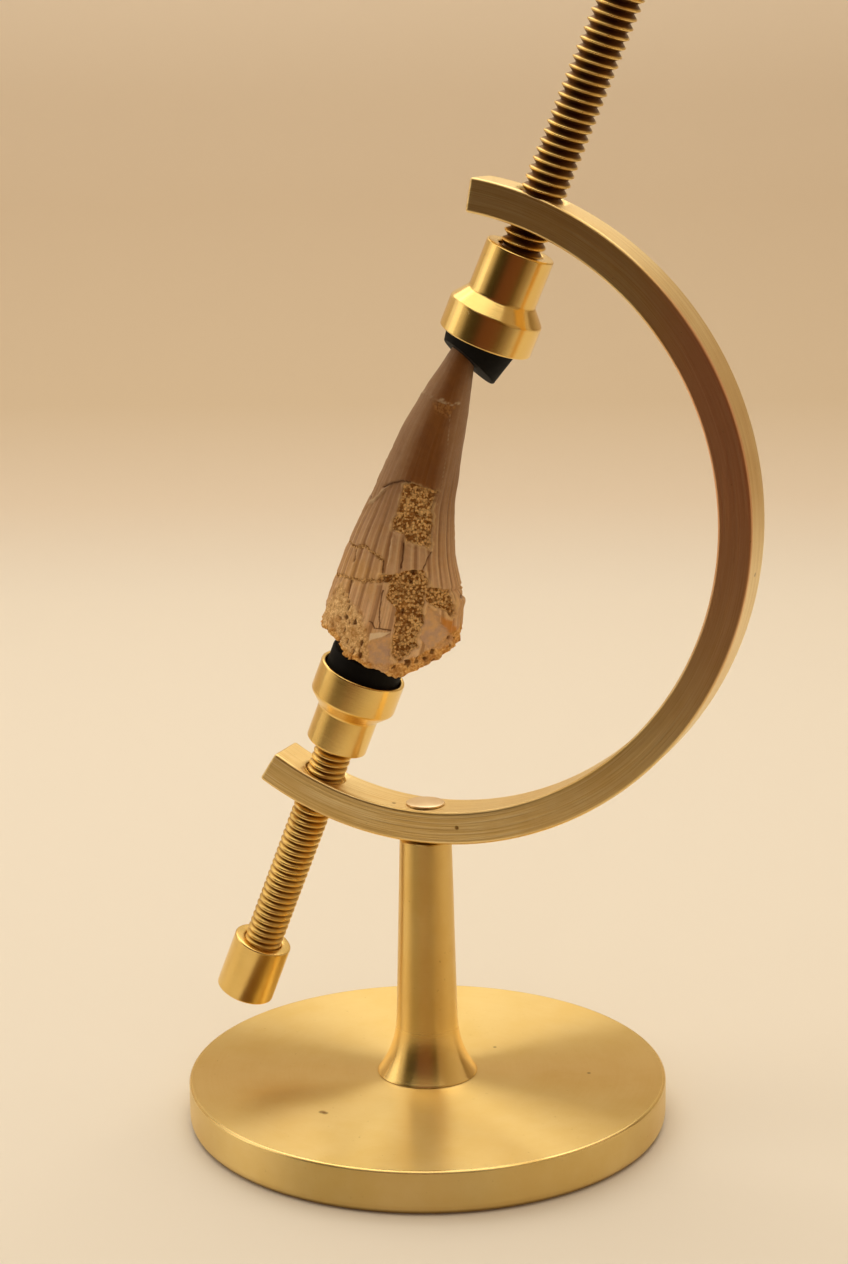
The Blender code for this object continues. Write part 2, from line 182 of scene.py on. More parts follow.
def speck(place, spot, size):
    """1 at one spot on a piece and 0 beyond that size round it."""
    gap = place.node("ShaderNodeVectorMath", {0: place, 1: spot}, output=1, operation="DISTANCE")
    return 1 - rise(gap, 0.4 * size, size)


def bumped(height, distance):
    """A normal that feels height as relief of that distance in metres."""
    return height.node("ShaderNodeBump", {"Height": height, "Distance": distance})


def colour(red, green, blue):
    """A colour from screen values of 0 to 255, as the linear numbers that shaders use."""
    linear = [((value / 255 + 0.055) / 1.055) ** 2.4 for value in (red, green, blue)]
    return (*linear, 1.0)


def new_finish(name):
    """An empty material, and a wire of the piece's own coordinates in metres."""
    material = bpy.data.materials.new(name)
    material.use_nodes = True
    coordinates = material.node_tree.nodes.new("ShaderNodeTexCoord")
    return material, Wire(coordinates.outputs["Object"])


def dress(material, inputs):
    """Set the shader's sockets to values or wires."""
    tree = material.node_tree
    shader = tree.nodes["Principled BSDF"]
    for place, value in inputs.items():
        if isinstance(value, Wire):
            tree.links.new(value.socket, shader.inputs[place])
        else:
            shader.inputs[place].default_value = value
    print("finish", material.name, "has", len(tree.nodes), "nodes")


# %% [markdown]
# The stand is lathe-turned brass with a satin face. A lathe leaves fine rings, so light is
# smeared outward from the axis and makes pale fans on a flat disc. The rings here follow
# one number, the distance from the axis plus twice the height along it, which changes on
# flat faces, walls and cones alike. Anisotropy does the smearing and a little bump the rings.
# Use leaves its own signs: a rubbed bright rim and a few dark specks. A dark line at the foot is painted
# shade.

# %% Satin and polished brass for turned pieces
BRASS_PALE = (0.88, 0.65, 0.25, 1)
BRASS_DEEP = (0.81, 0.54, 0.16, 1)
BRASS_STAIN = (0.30, 0.17, 0.05, 1)
BASE_PALE = (0.86, 0.665, 0.295, 1)
BASE_DEEP = (0.80, 0.575, 0.20, 1)
RINGS_PER_METRE = 5500
RING_RELIEF = 0.004 * MM
RUBBED_WIDTH = 0.6 * MM
STAIN_LUMPS = 1100             # in a metre


def from_axis(place, axis):
    """The coordinates seen from a piece's own leaning axis, which becomes their z."""
    return place.node(
        "ShaderNodeMapping",
        {"Vector": place, "Location": axis.translation, "Rotation": axis.to_euler()},
        vector_type="TEXTURE")


def rings_about(place):
    """Lathe rings, as fine noise across them and slow change round them, the radius and height."""
    x, y, z = parts_of(place)
    radius = (x * x + y * y) ** 0.5
    travel = (radius + 2.3 * z) * RINGS_PER_METRE
    around = 1.6 / (radius + 0.4 * MM)
    return cloud(joined(travel, x * around, y * around), 1.0, 2.0, 0.6), radius, z


def turned_brass(
        name, axis, roughness, smear, relief=RING_RELIEF, pale=BRASS_PALE, deep=BRASS_DEEP, rim=None,
        spots=(), smooth_below=None, painted_shade_below=None):
    """Brass off the lathe. It may have a rubbed rim (radius and height), dark spots (place and
    size), a height below which it is smoother, and one below which it is painted dark as shade."""
    material, place = new_finish(name)
    rings, radius, height = rings_about(from_axis(place, axis))
    patina = cloud(place, 90, 4.0, 0.6) * 0.5 + 0.25
    marks = rise(cloud(place, STAIN_LUMPS, 3.0, 0.7), 0.68, 0.76) * 0.4
    rough = roughness + 0.06 * patina + 0.10 * (rings - 0.5) + 0.4 * marks
    if rim:
        reach, top = rim
        rubbed = rise(radius, reach - RUBBED_WIDTH, reach - 0.4 * MM)
        rough = rough - 0.20 * rubbed * rise(height, top - RUBBED_WIDTH, top)
    if smooth_below:
        rough = rough - 0.16 * (1 - rise(height, smooth_below - 5 * MM, smooth_below))
    # painted shade: the foot is painted dark with the stain colour, where the base meets the floor
    if painted_shade_below:
        marks = marks + (1 - rise(height, 0.3 * painted_shade_below, painted_shade_below))
    for spot, size in spots:
        marks = marks + speck(place, spot, size)
    tone = blend(rise(patina, 0.35, 0.7), pale, deep)
    tone = blend(rings * 0.25, tone, deep)
    tone = blend(marks * 0.8, tone, BRASS_STAIN)
    dress(material, {
        "Base Color": tone,
        "Metallic": 1.0,
        "Roughness": rough,
        "Anisotropic": smear,
        "Anisotropic Rotation": 0.25,
        "Normal": bumped(rings, relief),
    })
    return material


UPRIGHT = Matrix.Identity(4)
BASE_RADIUS = 38.1 * MM
BASE_THICKNESS = 7.0 * MM
# the place and the size of each dark speck on the base's top
BASE_SPOTS = (
    ((-0.0093, -0.0212, 0.007), 0.0007), ((-0.0087, -0.0214, 0.007), 0.0006),
    ((0.0071, 0.0124, 0.007), 0.0004), ((0.0248, 0.0073, 0.007), 0.0004))
base_brass = turned_brass(
    "satin brass of the base", UPRIGHT, 0.34, 1.0, pale=BASE_PALE, deep=BASE_DEEP,
    rim=(BASE_RADIUS, BASE_THICKNESS), spots=BASE_SPOTS, painted_shade_below=1.0 * MM)
stem_brass = turned_brass(
    "satin brass of the stem", UPRIGHT, 0.36, 0.9, 1.5 * RING_RELIEF, smooth_below=18 * MM)

# %% [markdown]
# A lathe piece starts as half of its outline. Spinning that outline once round the axis makes
# the solid, and a small bevel on every sharp ring gives the edge that catches the light. The
# spun mesh may come out inside out, so its normals are set again once its seam is merged.


# %% Turn a piece on the lathe
def to_piece(bm, name, finish, sharp=30.0):
    """Keep a bmesh as a piece at the origin, smooth but for its sharp edges."""
    mesh = bpy.data.meshes.new(name)
    bm.to_mesh(mesh)
    bm.free()
    mesh.shade_smooth()
    mesh.set_sharp_from_angle(angle=math.radians(sharp))
    mesh.materials.append(finish)
    piece = bpy.data.objects.new(name, mesh)
    bpy.context.scene.collection.objects.link(piece)
    return piece


def flat_between_bevels(piece):
    """Let wide faces rule the shading, so that bevels don't make them look pillowed."""
    weights = piece.modifiers.new("wide faces first", "WEIGHTED_NORMAL")
    weights.keep_sharp = True
    return piece


def stands_for(piece, node, body):
    """The piece takes the CAD node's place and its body."""
    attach(piece, body)
    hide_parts(node)
    print(piece.name, "has", sum(len(face.vertices) - 2 for face in piece.data.polygons), "triangles")


def rounded(bm, turn_limit, size, rounds, fit=False):
    """Round the edges that turn by more than a limit in radians. Fitted bevels never meet."""
    sharp = [line for line in bm.edges if line.is_manifold and line.calc_face_angle() > turn_limit]
    bmesh.ops.bevel(
        bm, geom=sharp, offset=size, offset_type="OFFSET", segments=rounds, profile=0.5,
        affect="EDGES", material=-1, clamp_overlap=fit)


def spun(outline, steps, merge, climb=0.0):
    """Spin a chain of (radius, height) points once about z, climbing by so much in that turn."""
    bm = bmesh.new()
    points = [bm.verts.new((radius, 0, height)) for radius, height in outline]
    edges = [bm.edges.new(pair) for pair in zip(points, points[1:])]
    bmesh.ops.spin(
        bm, geom=points + edges, cent=(0, 0, 0), axis=(0, 0, 1), dvec=(0, 0, climb / steps),
        angle=2 * math.pi, steps=steps, use_merge=not climb)
    bmesh.ops.remove_doubles(bm, verts=bm.verts, dist=merge)
    bmesh.ops.recalc_face_normals(bm, faces=bm.faces)
    return bm


def lathe(name, outline, finish, axis=UPRIGHT, edge=0.3 * MM, steps=144, rounds=3):
    """Turn an outline of (radius, height) points, then round its sharp rings."""
    bm = spun(outline, steps, 0.001 * MM)
    rounded(bm, 0.35, edge, rounds, fit=True)
    bmesh.ops.transform(bm, matrix=axis, verts=bm.verts)
    return flat_between_bevels(to_piece(bm, name, finish, 40.0))


# %% [markdown]
# The base is a heavy disc, turned and brushed. Its top edge has a small round that shows as a
# bright line, so it gets its own bevel size, and a steep chamfer draws its foot in.

# %% Base disc
BASE_EDGE = 0.5 * MM
BASE_CHAMFER = 1.1 * MM

base = lathe(
    "brass_base",
    [(0, BASE_THICKNESS), (BASE_RADIUS, BASE_THICKNESS), (BASE_RADIUS, BASE_CHAMFER),
     (BASE_RADIUS - 0.6 * BASE_CHAMFER, 0), (0, 0)],
    base_brass, edge=BASE_EDGE, steps=256, rounds=4)
stands_for(base, "base_disc", "root")

# %% [markdown]
# The stem is a slow taper that flares at the foot. The flare is one power curve, so the
# outline needs no table of points.

# %% Stem
GAP = 0.3 * MM                 # round a screw or pin in its hole, as in the solids
STEM_FOOT_RADIUS = 8.1 * MM
STEM_WAIST_RADIUS = 5.1 * MM
STEM_TOP_RADIUS = 4.1 * MM
STEM_FLARE_HEIGHT = 10.5 * MM
STEM_FLARE_POWER = 2.6
STEM_FLARE_STEPS = 28
STEM_TOP = 45.8 * MM


def stem_radius(height):
    along = (height - BASE_THICKNESS) / (STEM_TOP - BASE_THICKNESS)
    column = STEM_WAIST_RADIUS + (STEM_TOP_RADIUS - STEM_WAIST_RADIUS) * along
    near_foot = max(0.0, 1.0 - (height - BASE_THICKNESS) / STEM_FLARE_HEIGHT)
    return column + (STEM_FOOT_RADIUS - STEM_WAIST_RADIUS) * near_foot ** STEM_FLARE_POWER


foot = BASE_THICKNESS + 0.05 * MM
flare = [foot + STEM_FLARE_HEIGHT * index / STEM_FLARE_STEPS for index in range(STEM_FLARE_STEPS + 1)]
outline = [(0, foot)]
outline += [(stem_radius(height), height) for height in flare]
outline += [(stem_radius(height * MM), height * MM) for height in (24, 31, 38)]
outline += [(STEM_TOP_RADIUS, STEM_TOP), (0, STEM_TOP)]
stem = lathe("brass_stem", outline, stem_brass, edge=0.18 * MM, steps=160)
stands_for(stem, "stem", "root")

# %% [markdown]
# The arc is flat bar bent to most of a circle, then brushed along its length. Its brush lines
# follow one number too: the distance from the arc's centre plus the distance across the bar.
# Near its widest point the front face has a painted reddish reflection of something in the room.

# %% Brushed brass for the arc
ARC_CENTRE = Vector((0.77 * MM, 0, 97.5 * MM))
ARC_INNER_RADIUS = 46.2 * MM
ARC_OUTER_RADIUS = 51.35 * MM
ARC_WIDTH = 8.1 * MM
BRUSHED_PALE = (0.91, 0.71, 0.35, 1)
BRUSHED_DEEP = (0.85, 0.61, 0.25, 1)
BRUSH_SHADOW = (0.66, 0.44, 0.14, 1)
BRUSH_GLINT = (0.98, 0.82, 0.48, 1)
ARC_PAINTED_REFLECTION = (0.95, 0.46, 0.30, 1)
BRUSH_LINES_PER_METRE = 4500
BRUSH_RELIEF = 0.030 * MM
ARC_SPOT_SIZE = 0.45 * MM
ARC_SPOTS = (
    (0.0067, -0.00405, 0.0493), (-0.0045, -0.002, 0.0516), (0.0517, -0.0001, 0.0912))


def brushed_brass(name):
    material, place = new_finish(name)
    own = from_axis(place, Matrix.Translation(ARC_CENTRE))
    x, y, z = parts_of(own)
    radius = (x * x + z * z) ** 0.5
    across = (radius + 1.7 * y) * BRUSH_LINES_PER_METRE
    around = 2.2 / radius
    lines = cloud(joined(across, x * around, z * around), 1.0, 3.0, 0.65)
    long_lines = cloud(joined(across * 0.3, x * around * 0.5, z * around * 0.5), 1.0, 2.0, 0.6)
    patina = cloud(place, 70, 4.0, 0.6)
    marks = rise(cloud(place, STAIN_LUMPS, 2.0, 0.7), 0.72, 0.80) * 0.5
    for spot in ARC_SPOTS:
        marks = marks + speck(place, spot, ARC_SPOT_SIZE)
    tone = blend(rise(patina, 0.35, 0.7), BRUSHED_PALE, BRUSHED_DEEP)
    # painted glints and painted shade: the brush lines are coloured as bright and dark streaks along the bar
    tone = blend(rise(lines, 0.44, 0.66) * 0.6, tone, BRUSH_SHADOW)
    tone = blend((1 - rise(lines, 0.34, 0.46)) * 0.6, tone, BRUSH_GLINT)
    # painted reflection: a reddish tint on the front face near the widest point
    front_face = 1 - rise(y, -3.9 * MM, -3.4 * MM)
    widest = rise(x, 31 * MM, 45 * MM) * rise(z, -40 * MM, 10 * MM)
    tone = blend(front_face * widest * 0.6, tone, ARC_PAINTED_REFLECTION)
    tone = blend(marks, tone, BRASS_STAIN)
    dress(material, {
        "Base Color": tone,
        "Metallic": 1.0,
        "Roughness": 0.34 + 0.16 * (lines - 0.5) + 0.10 * (long_lines - 0.5) + 0.06 * patina,
        "Normal": bumped(lines + long_lines, BRUSH_RELIEF),
    })
    return material


arc_brass = brushed_brass("brushed brass of the arc")

# %% [markdown]
# The bar's section is a rectangle. Spinning it through the arc's angle makes the bar, and its
# long edges and ends get a small bevel. The two screw holes and the pin hole are drilled with
# Boolean modifiers, which are applied so that no drill stays in the file.

# %% Arc of flat bar
ARC_UPPER_END = math.radians(80.5)
ARC_LOWER_END = math.radians(-122.2)
ARC_EDGE = 0.45 * MM
ARC_STEPS = 220
ARC_HEIGHT = ARC_CENTRE.z


def leaning_axis(x, degrees):
    """An axis through the height of the arc's centre, leaning towards +X."""
    return Matrix.Translation((x, 0, ARC_HEIGHT)) @ Matrix.Rotation(math.radians(degrees), 4, "Y")


UPPER_AXIS = leaning_axis(-1.1 * MM, 22.75)
LOWER_AXIS = leaning_axis(-0.15 * MM, 21.5)
PIN_SHANK_RADIUS = 1.8 * MM
# heights run outward along the axis from the arc's centre, upward or downward by way
UPPER = SimpleNamespace(
    way=1, axis=UPPER_AXIS, screw=3.4 * MM, pitch=1.4 * MM, rim=28.9 * MM, shoulder=33.7 * MM,
    neck=36.0 * MM, end=43.5 * MM, mouth=7.2 * MM, neck_radius=5.25 * MM, pad_bore=6.3 * MM,
    knob_start=85 * MM, knob_end=95 * MM, knob_radius=5.0 * MM)
LOWER = SimpleNamespace(
    way=-1, axis=LOWER_AXIS, screw=3.07 * MM, pitch=1.1 * MM, rim=27.3 * MM, shoulder=32.45 * MM,
    neck=34.5 * MM, end=40.5 * MM, mouth=6.85 * MM, neck_radius=4.9 * MM, pad_bore=6.2 * MM,
    knob_start=77.3 * MM, knob_end=87 * MM, knob_radius=4.72 * MM)


def drilled(piece, radius, axis, distance):
    """Cut a round hole across the bar, with a slight countersink at both faces."""
    bm = bmesh.new()
    # each cone's two heights, and how much wider than the hole it is at them, in millimetres
    for low, high, first, last in ((-6, 6, 0, 0), (-4.2, -2.2, 0.7, 0), (2.2, 4.2, 0, 0.7)):
        middle = Matrix.Translation((0, 0, (low + high) / 2 * MM))
        bmesh.ops.create_cone(
            bm, cap_ends=True, segments=64, radius1=radius + first * MM, radius2=radius + last * MM,
            depth=(high - low) * MM, matrix=axis @ Matrix.Translation((0, 0, distance)) @ middle)
    drill = to_piece(bm, "drill", piece.data.materials[0])
    boolean = piece.modifiers.new("hole", "BOOLEAN")
    boolean.operation = "DIFFERENCE"
    boolean.solver = "EXACT"
    boolean.use_self = True
    boolean.object = drill
    bpy.context.view_layer.update()
    graph = bpy.context.evaluated_depsgraph_get()
    cut = bpy.data.meshes.new_from_object(piece.evaluated_get(graph))
    piece.modifiers.clear()
    piece.data = cut
    bpy.data.objects.remove(drill, do_unlink=True)


def bent_bar(name, finish):
    bm = bmesh.new()
    middle = (ARC_INNER_RADIUS + ARC_OUTER_RADIUS) / 2
    bmesh.ops.create_grid(bm, x_segments=1, y_segments=1, size=0.5)
    thickness = ARC_OUTER_RADIUS - ARC_INNER_RADIUS
    bmesh.ops.scale(bm, vec=(thickness, ARC_WIDTH, 1), verts=bm.verts)
    start = Matrix.Rotation(-ARC_LOWER_END, 4, "Y") @ Matrix.Translation((middle, 0, 0))
    bmesh.ops.transform(bm, matrix=Matrix.Translation(ARC_CENTRE) @ start, verts=bm.verts)
    bmesh.ops.spin(
        bm, geom=bm.faces[:], cent=ARC_CENTRE, axis=(0, -1, 0),
        angle=ARC_UPPER_END - ARC_LOWER_END, steps=ARC_STEPS)
    bmesh.ops.recalc_face_normals(bm, faces=bm.faces)
    rounded(bm, 0.5, ARC_EDGE, 4)
    return to_piece(bm, name, finish)


arc = bent_bar("brass_arc", arc_brass)
reach = (ARC_INNER_RADIUS + ARC_OUTER_RADIUS) / 2
drilled(arc, UPPER.screw + GAP, UPPER_AXIS, reach)
drilled(arc, LOWER.screw + GAP, LOWER_AXIS, -reach)
drilled(arc, PIN_SHANK_RADIUS + GAP, Matrix.Translation((0, 0, ARC_HEIGHT)), -reach)
flat_between_bevels(arc)
stands_for(arc, "arc_frame", "root")

# %% [markdown]
# A pin goes down through the arc into the stem, as a rivet does. Only its low dome shows.

# %% Pin
PIN_HEAD_RADIUS = 3.05 * MM
PIN_HEAD_HEIGHT = 0.5 * MM
PIN_LENGTH = 10.5 * MM
PIN_PALE = (0.96, 0.78, 0.52, 1)
PIN_DEEP = (0.84, 0.62, 0.36, 1)
pin_brass = turned_brass("worn brass of the pin", UPRIGHT, 0.28, 0.3, pale=PIN_PALE, deep=PIN_DEEP)
seat = ARC_HEIGHT - ARC_INNER_RADIUS + 0.1 * MM
dome = [
    (PIN_HEAD_RADIUS * math.sin(slant), seat + PIN_HEAD_HEIGHT * (0.45 + 0.55 * math.cos(slant)))
    for slant in [math.pi / 20 * index for index in range(11)]]
dome += [(PIN_HEAD_RADIUS, seat), (PIN_SHANK_RADIUS, seat), (PIN_SHANK_RADIUS, seat - PIN_LENGTH)]
dome += [(0, seat - PIN_LENGTH)]
pin = lathe("brass_pin", dome, pin_brass, edge=0.06 * MM, steps=96, rounds=2)
stands_for(pin, "arc_pin", "root")

# %% [markdown]
# Each clamp ends in a stepped cup: a wide mouth for the rubber, a sloping shoulder and a neck
# that the screw turns in. Outlines are written as distances out from the arc's centre, and the
# lower clamp uses the same outline with its heights reversed. The bores fit snugly round the
# threads, because no gap shows in the photograph.

# %% Cups and knobs
SOCKET_DEPTH = 4.0 * MM
SNUG = 0.08 * MM
CUP_EDGE = 0.28 * MM


def cup(name, clamp, finish):
    bore = clamp.screw + SNUG
    outline = [
        (0, clamp.end - SOCKET_DEPTH), (bore, clamp.end - SOCKET_DEPTH), (bore, clamp.end),
        (clamp.neck_radius, clamp.end), (clamp.neck_radius, clamp.neck), (clamp.mouth, clamp.shoulder),
        (clamp.mouth, clamp.rim), (clamp.pad_bore, clamp.rim), (clamp.pad_bore, clamp.rim + SOCKET_DEPTH),
        (0, clamp.rim + SOCKET_DEPTH)]
    outline = [(radius, clamp.way * height) for radius, height in outline]
    return lathe(name, outline, finish, clamp.axis, CUP_EDGE)


def knob(name, clamp, finish):
    start = clamp.knob_start
    bore = clamp.screw + SNUG
    outline = [
        (0, clamp.knob_end), (clamp.knob_radius, clamp.knob_end), (clamp.knob_radius, start),
        (bore, start), (bore, start + SOCKET_DEPTH), (0, start + SOCKET_DEPTH)]
    outline = [(radius, clamp.way * height) for radius, height in outline]
    return lathe(name, outline, finish, clamp.axis)


CLAMP_RELIEF = 2.25 * RING_RELIEF
upper_brass = turned_brass("polished brass of the upper clamp", UPPER_AXIS, 0.18, 0.6, CLAMP_RELIEF)
lower_brass = turned_brass("polished brass of the lower clamp", LOWER_AXIS, 0.20, 0.6, CLAMP_RELIEF)
stands_for(cup("upper_brass_cup", UPPER, upper_brass), "upper_cup", "upper_jaw")
stands_for(cup("lower_brass_cup", LOWER, lower_brass), "lower_cup", "lower_jaw")
stands_for(knob("upper_brass_knob", UPPER, upper_brass), "upper_knob", "upper_spindle")
stands_for(knob("lower_brass_knob", LOWER, lower_brass), "lower_knob", "lower_spindle")

# %% [markdown]
# A screw thread is a helix. A zigzag of crests and roots is drawn up the rod, and a spin that
# also climbs by one pitch a turn joins each zigzag to the next. The finish darkens towards the
# axis, in the roots. The upper screw is coarse and sharp, the lower fine and round.


# %% Threaded rods
COARSE_ROOT_TONE = (0.20, 0.10, 0.03, 1)
FINE_ROOT_TONE = (0.42, 0.24, 0.06, 1)
THREAD_STEPS = 48


def thread_brass(name, clamp, root_tone, bright):
    """Brass that darkens in the roots. The crests are bright down to that share of a pitch."""
    material, place = new_finish(name)
    rings, distance, _ = rings_about(from_axis(place, clamp.axis))
    crest = rise(distance, clamp.screw - bright * clamp.pitch, clamp.screw - 0.04 * clamp.pitch)
    patina = cloud(place, 220, 4.0, 0.65)
    # the colour is darker in the thread roots and paler at the crests
    tone = blend(crest * (1 - 0.5 * rise(patina, 0.5, 0.7)), root_tone, BRASS_DEEP)
    tone = blend(rise(distance, clamp.screw - 0.12 * clamp.pitch, clamp.screw) * 0.5, tone, BRASS_PALE)
    dress(material, {
        "Base Color": tone,
        "Metallic": 1.0,
        "Roughness": 0.36 - 0.14 * crest + 0.12 * patina,
        "Normal": bumped(rings + patina * 3, RING_RELIEF),
    })
    return material


def threaded_rod(name, clamp, depth, crest_width, finish):
    """A right-hand thread from cup to knob, its depth and crest as shares of the pitch."""
    radius, pitch = clamp.screw, clamp.pitch
    root = radius - depth * pitch
    soft = 0.12 * depth * pitch
    low, high = sorted((
        clamp.way * (clamp.end - SOCKET_DEPTH + GAP), clamp.way * (clamp.knob_start + SOCKET_DEPTH - GAP)))
    tooth = (
        (-0.5, root), (-0.42, root + soft), (-crest_width, radius - soft), (-0.4 * crest_width, radius),
        (0.4 * crest_width, radius), (crest_width, radius - soft), (0.42, root + soft))
    points = []
    for turn_number in range(int((high - low) / pitch) + 4):
        middle = low + (turn_number - 1.5) * pitch
        points += [(reach, middle + share * pitch) for share, reach in tooth]
    bm = spun(points, THREAD_STEPS, 0.002 * MM, climb=pitch)
    for height, normal in ((low, (0, 0, -1)), (high, (0, 0, 1))):
        bmesh.ops.bisect_plane(
            bm, geom=bm.verts[:] + bm.edges[:] + bm.faces[:], dist=0.0005 * MM,
            plane_co=(0, 0, height), plane_no=normal, clear_outer=True)
    bmesh.ops.holes_fill(bm, edges=[line for line in bm.edges if line.is_boundary], sides=0)
    bmesh.ops.triangulate(bm, faces=bm.faces)
    bmesh.ops.recalc_face_normals(bm, faces=bm.faces)
    bmesh.ops.transform(bm, matrix=clamp.axis, verts=bm.verts)
    return to_piece(bm, name, finish, 50.0)


coarse_brass = thread_brass("dark brass of the coarse thread", UPPER, COARSE_ROOT_TONE, 0.24)
fine_brass = thread_brass("golden brass of the fine thread", LOWER, FINE_ROOT_TONE, 0.42)
upper_screw = threaded_rod("upper_thread", UPPER, 0.55, 0.10, coarse_brass)
stands_for(upper_screw, "upper_screw", "upper_spindle")
lower_screw = threaded_rod("lower_thread", LOWER, 0.5, 0.2, fine_brass)
stands_for(lower_screw, "lower_screw", "lower_spindle")

# %% [markdown]
# Black rubber keeps the brass off the fossil. The lower pad is a plain plug that the broken
# base rests on. The claw's point has pushed the upper plug askew, so its face slopes, and the
# point goes into it.


# %% Rubber
RUBBER_BLACK = (0.003, 0.003, 0.003, 1)
RUBBER_DUST = (0.016, 0.015, 0.014, 1)
RUBBER_RELIEF = 0.04 * MM


def black_rubber(name):
    material, place = new_finish(name)
    dust = cloud(place, 700, 4.0, 0.7)
    marks = cloud(stretched(place, (250, 250, 900)), 1.0, 3.0, 0.6)
    tone = blend(rise(dust, 0.6, 0.9) * 0.4, RUBBER_BLACK, RUBBER_DUST)
    dress(material, {
        "Base Color": tone,
        "Roughness": 0.55 + 0.3 * dust,
        "Specular IOR Level": 0.14,
        "Normal": bumped(dust + marks, RUBBER_RELIEF),
    })
    return material


pad_rubber = black_rubber("black rubber")

# %% Lower pad
LOWER_PAD_RADIUS = 5.9 * MM
LOWER_PAD_TOP = 24.35 * MM
lower_seat = LOWER.rim + SOCKET_DEPTH - GAP
lower_pad = lathe(
    "lower_rubber_pad",
    [(0, -LOWER_PAD_TOP), (LOWER_PAD_RADIUS, -LOWER_PAD_TOP), (LOWER_PAD_RADIUS, -lower_seat),
     (0, -lower_seat)],
    pad_rubber, LOWER_AXIS, edge=0.35 * MM, steps=96)
stands_for(lower_pad, "lower_pad", "lower_jaw")

# %% Upper pad
CLAW_TURN = math.radians(15.0)
CLAW_AXIS = leaning_axis(0.2 * MM, 21.8) @ Matrix.Rotation(CLAW_TURN, 4, "Z")
UPPER_PAD_RADIUS = 5.6 * MM
UPPER_PAD_SHIFT = -0.4 * MM
PAD_FACE_CENTRE = Vector((-1.0 * MM, 0.0, 24.8 * MM))
PAD_FACE_RADIUS = 4.7 * MM
PAD_EDGE = 0.3 * MM
PAD_FACE_SLOPE = 0.35          # fall of the pad's face, both sideways and away from the viewer


def skewed_plug(name, finish):
    """A round plug whose lower end is moved over and slopes."""
    bm = bmesh.new()
    seat = UPPER.rim + SOCKET_DEPTH - GAP
    bmesh.ops.create_cone(
        bm, cap_ends=True, segments=96, radius1=UPPER_PAD_RADIUS, radius2=UPPER_PAD_RADIUS,
        depth=seat - PAD_FACE_CENTRE.z)
    walls = [line for line in bm.edges if abs(line.verts[0].co.z - line.verts[1].co.z) > 1 * MM]
    bmesh.ops.subdivide_edges(bm, edges=walls, cuts=1, use_grid_fill=True)
    for vert in bm.verts:
        if vert.co.z < -1 * MM:
            share = PAD_FACE_RADIUS / UPPER_PAD_RADIUS
            x, y = vert.co.x * share, vert.co.y * share
            vert.co = PAD_FACE_CENTRE + Vector((x, y, -PAD_FACE_SLOPE * (x + y)))
        else:
            top = seat if vert.co.z > 1 * MM else UPPER.rim - 0.2 * MM
            vert.co = Vector((vert.co.x + UPPER_PAD_SHIFT, vert.co.y, top))
    rounded(bm, 0.6, PAD_EDGE, 3)
    bmesh.ops.transform(bm, matrix=UPPER_AXIS @ Matrix.Rotation(CLAW_TURN, 4, "Z"), verts=bm.verts)
    return to_piece(bm, name, finish)


upper_pad = skewed_plug("upper_rubber_pad", pad_rubber)
stands_for(upper_pad, "upper_pad", "upper_jaw")

# %% [markdown]
# The claw is the subject, so it gets most of the mesh. Its outline comes from nine stations
# along it, each with a left edge, a right edge and a depth, joined by smooth curves. The same
# stations shape the CAD solid, so the fine claw grows out of the plain one.

# %% Claw outline
CLAW_BASE = -24.2
CLAW_TIP = 28.6
TIP_ROUND = 1.6
# height, left edge, right edge and half depth, in millimetres
CLAW_STATIONS = np.array((
    (-26.0, -8.6, 12.6, 7.2), (-17.0, -9.2, 12.0, 7.1), (-10.0, -9.25, 9.8, 6.8),
    (-4.0, -8.9, 6.35, 6.1), (2.0, -8.45, 4.05, 5.4), (9.0, -8.0, 2.5, 4.7),
    (17.0, -6.85, 0.85, 3.7), (24.0, -5.25, -0.85, 2.2), (28.6, -4.05, -2.15, 1.0)))


def between_stations(height):
    """Left edge, right edge and half depth at many heights, on smooth curves."""
    heights = CLAW_STATIONS[:, 0]
    last = len(heights) - 1
    here = np.clip(np.searchsorted(heights, height) - 1, 0, last - 1)
    there = here + 1
    before = np.maximum(here - 1, 0)
    after = np.minimum(there + 1, last)
    span = heights[there] - heights[here]
    t = np.clip((height - heights[here]) / span, 0, 1)
    values = []
    for column in (1, 2, 3):
        edge = CLAW_STATIONS[:, column]
        slope_here = (edge[there] - edge[before]) / (heights[there] - heights[before])
        slope_there = (edge[after] - edge[here]) / (heights[after] - heights[here])
        values.append(
            edge[here] * (2 * t ** 3 - 3 * t ** 2 + 1) + edge[there] * (3 * t ** 2 - 2 * t ** 3)
            + span * (slope_here * (t ** 3 - 2 * t ** 2 + t) + slope_there * (t ** 3 - t ** 2)))
    return values


def step(value, low, high):
    """Smoothly 0 below low and 1 above high, for arrays."""
    t = np.clip((value - low) / (high - low), 0, 1)
    return t * t * (3 - 2 * t)


print("claw:", round(CLAW_TIP - CLAW_BASE, 1), "mm long")

# %% [markdown]
# Relief comes from noise that is read at every vertex. `lumps` gives soft waves and `grains`
# gives the packed sand of the rock fill, as the distance to the nearest of many scattered
# points. Both take places in millimetres.

# %% Noise at every vertex
def lumps(places, size, seed=0.0):
    """Soft noise from -1 to 1, with waves of about that size in millimetres."""
    shift = Vector((seed, seed * 1.7, seed * 0.6))
    return np.array([noise.noise(Vector(place) / size + shift) for place in places])


def grains(places, size):
    """Rounded grains: 1 at a grain's middle and 0 at its edge."""
    nearest = [noise.voronoi(Vector(place) / size)[0][0] for place in places]
    return np.clip(1.0 - 1.3 * np.array(nearest), 0, 1)


# %% [markdown]
# Damage is drawn on the claw's front as shapes of a few points, in millimetres across and
# along it. A distance to each shape's outline, nudged by noise so that no edge is straight,
# says how deep a vertex lies inside. Cracks are lines, and their distance says how near one is.

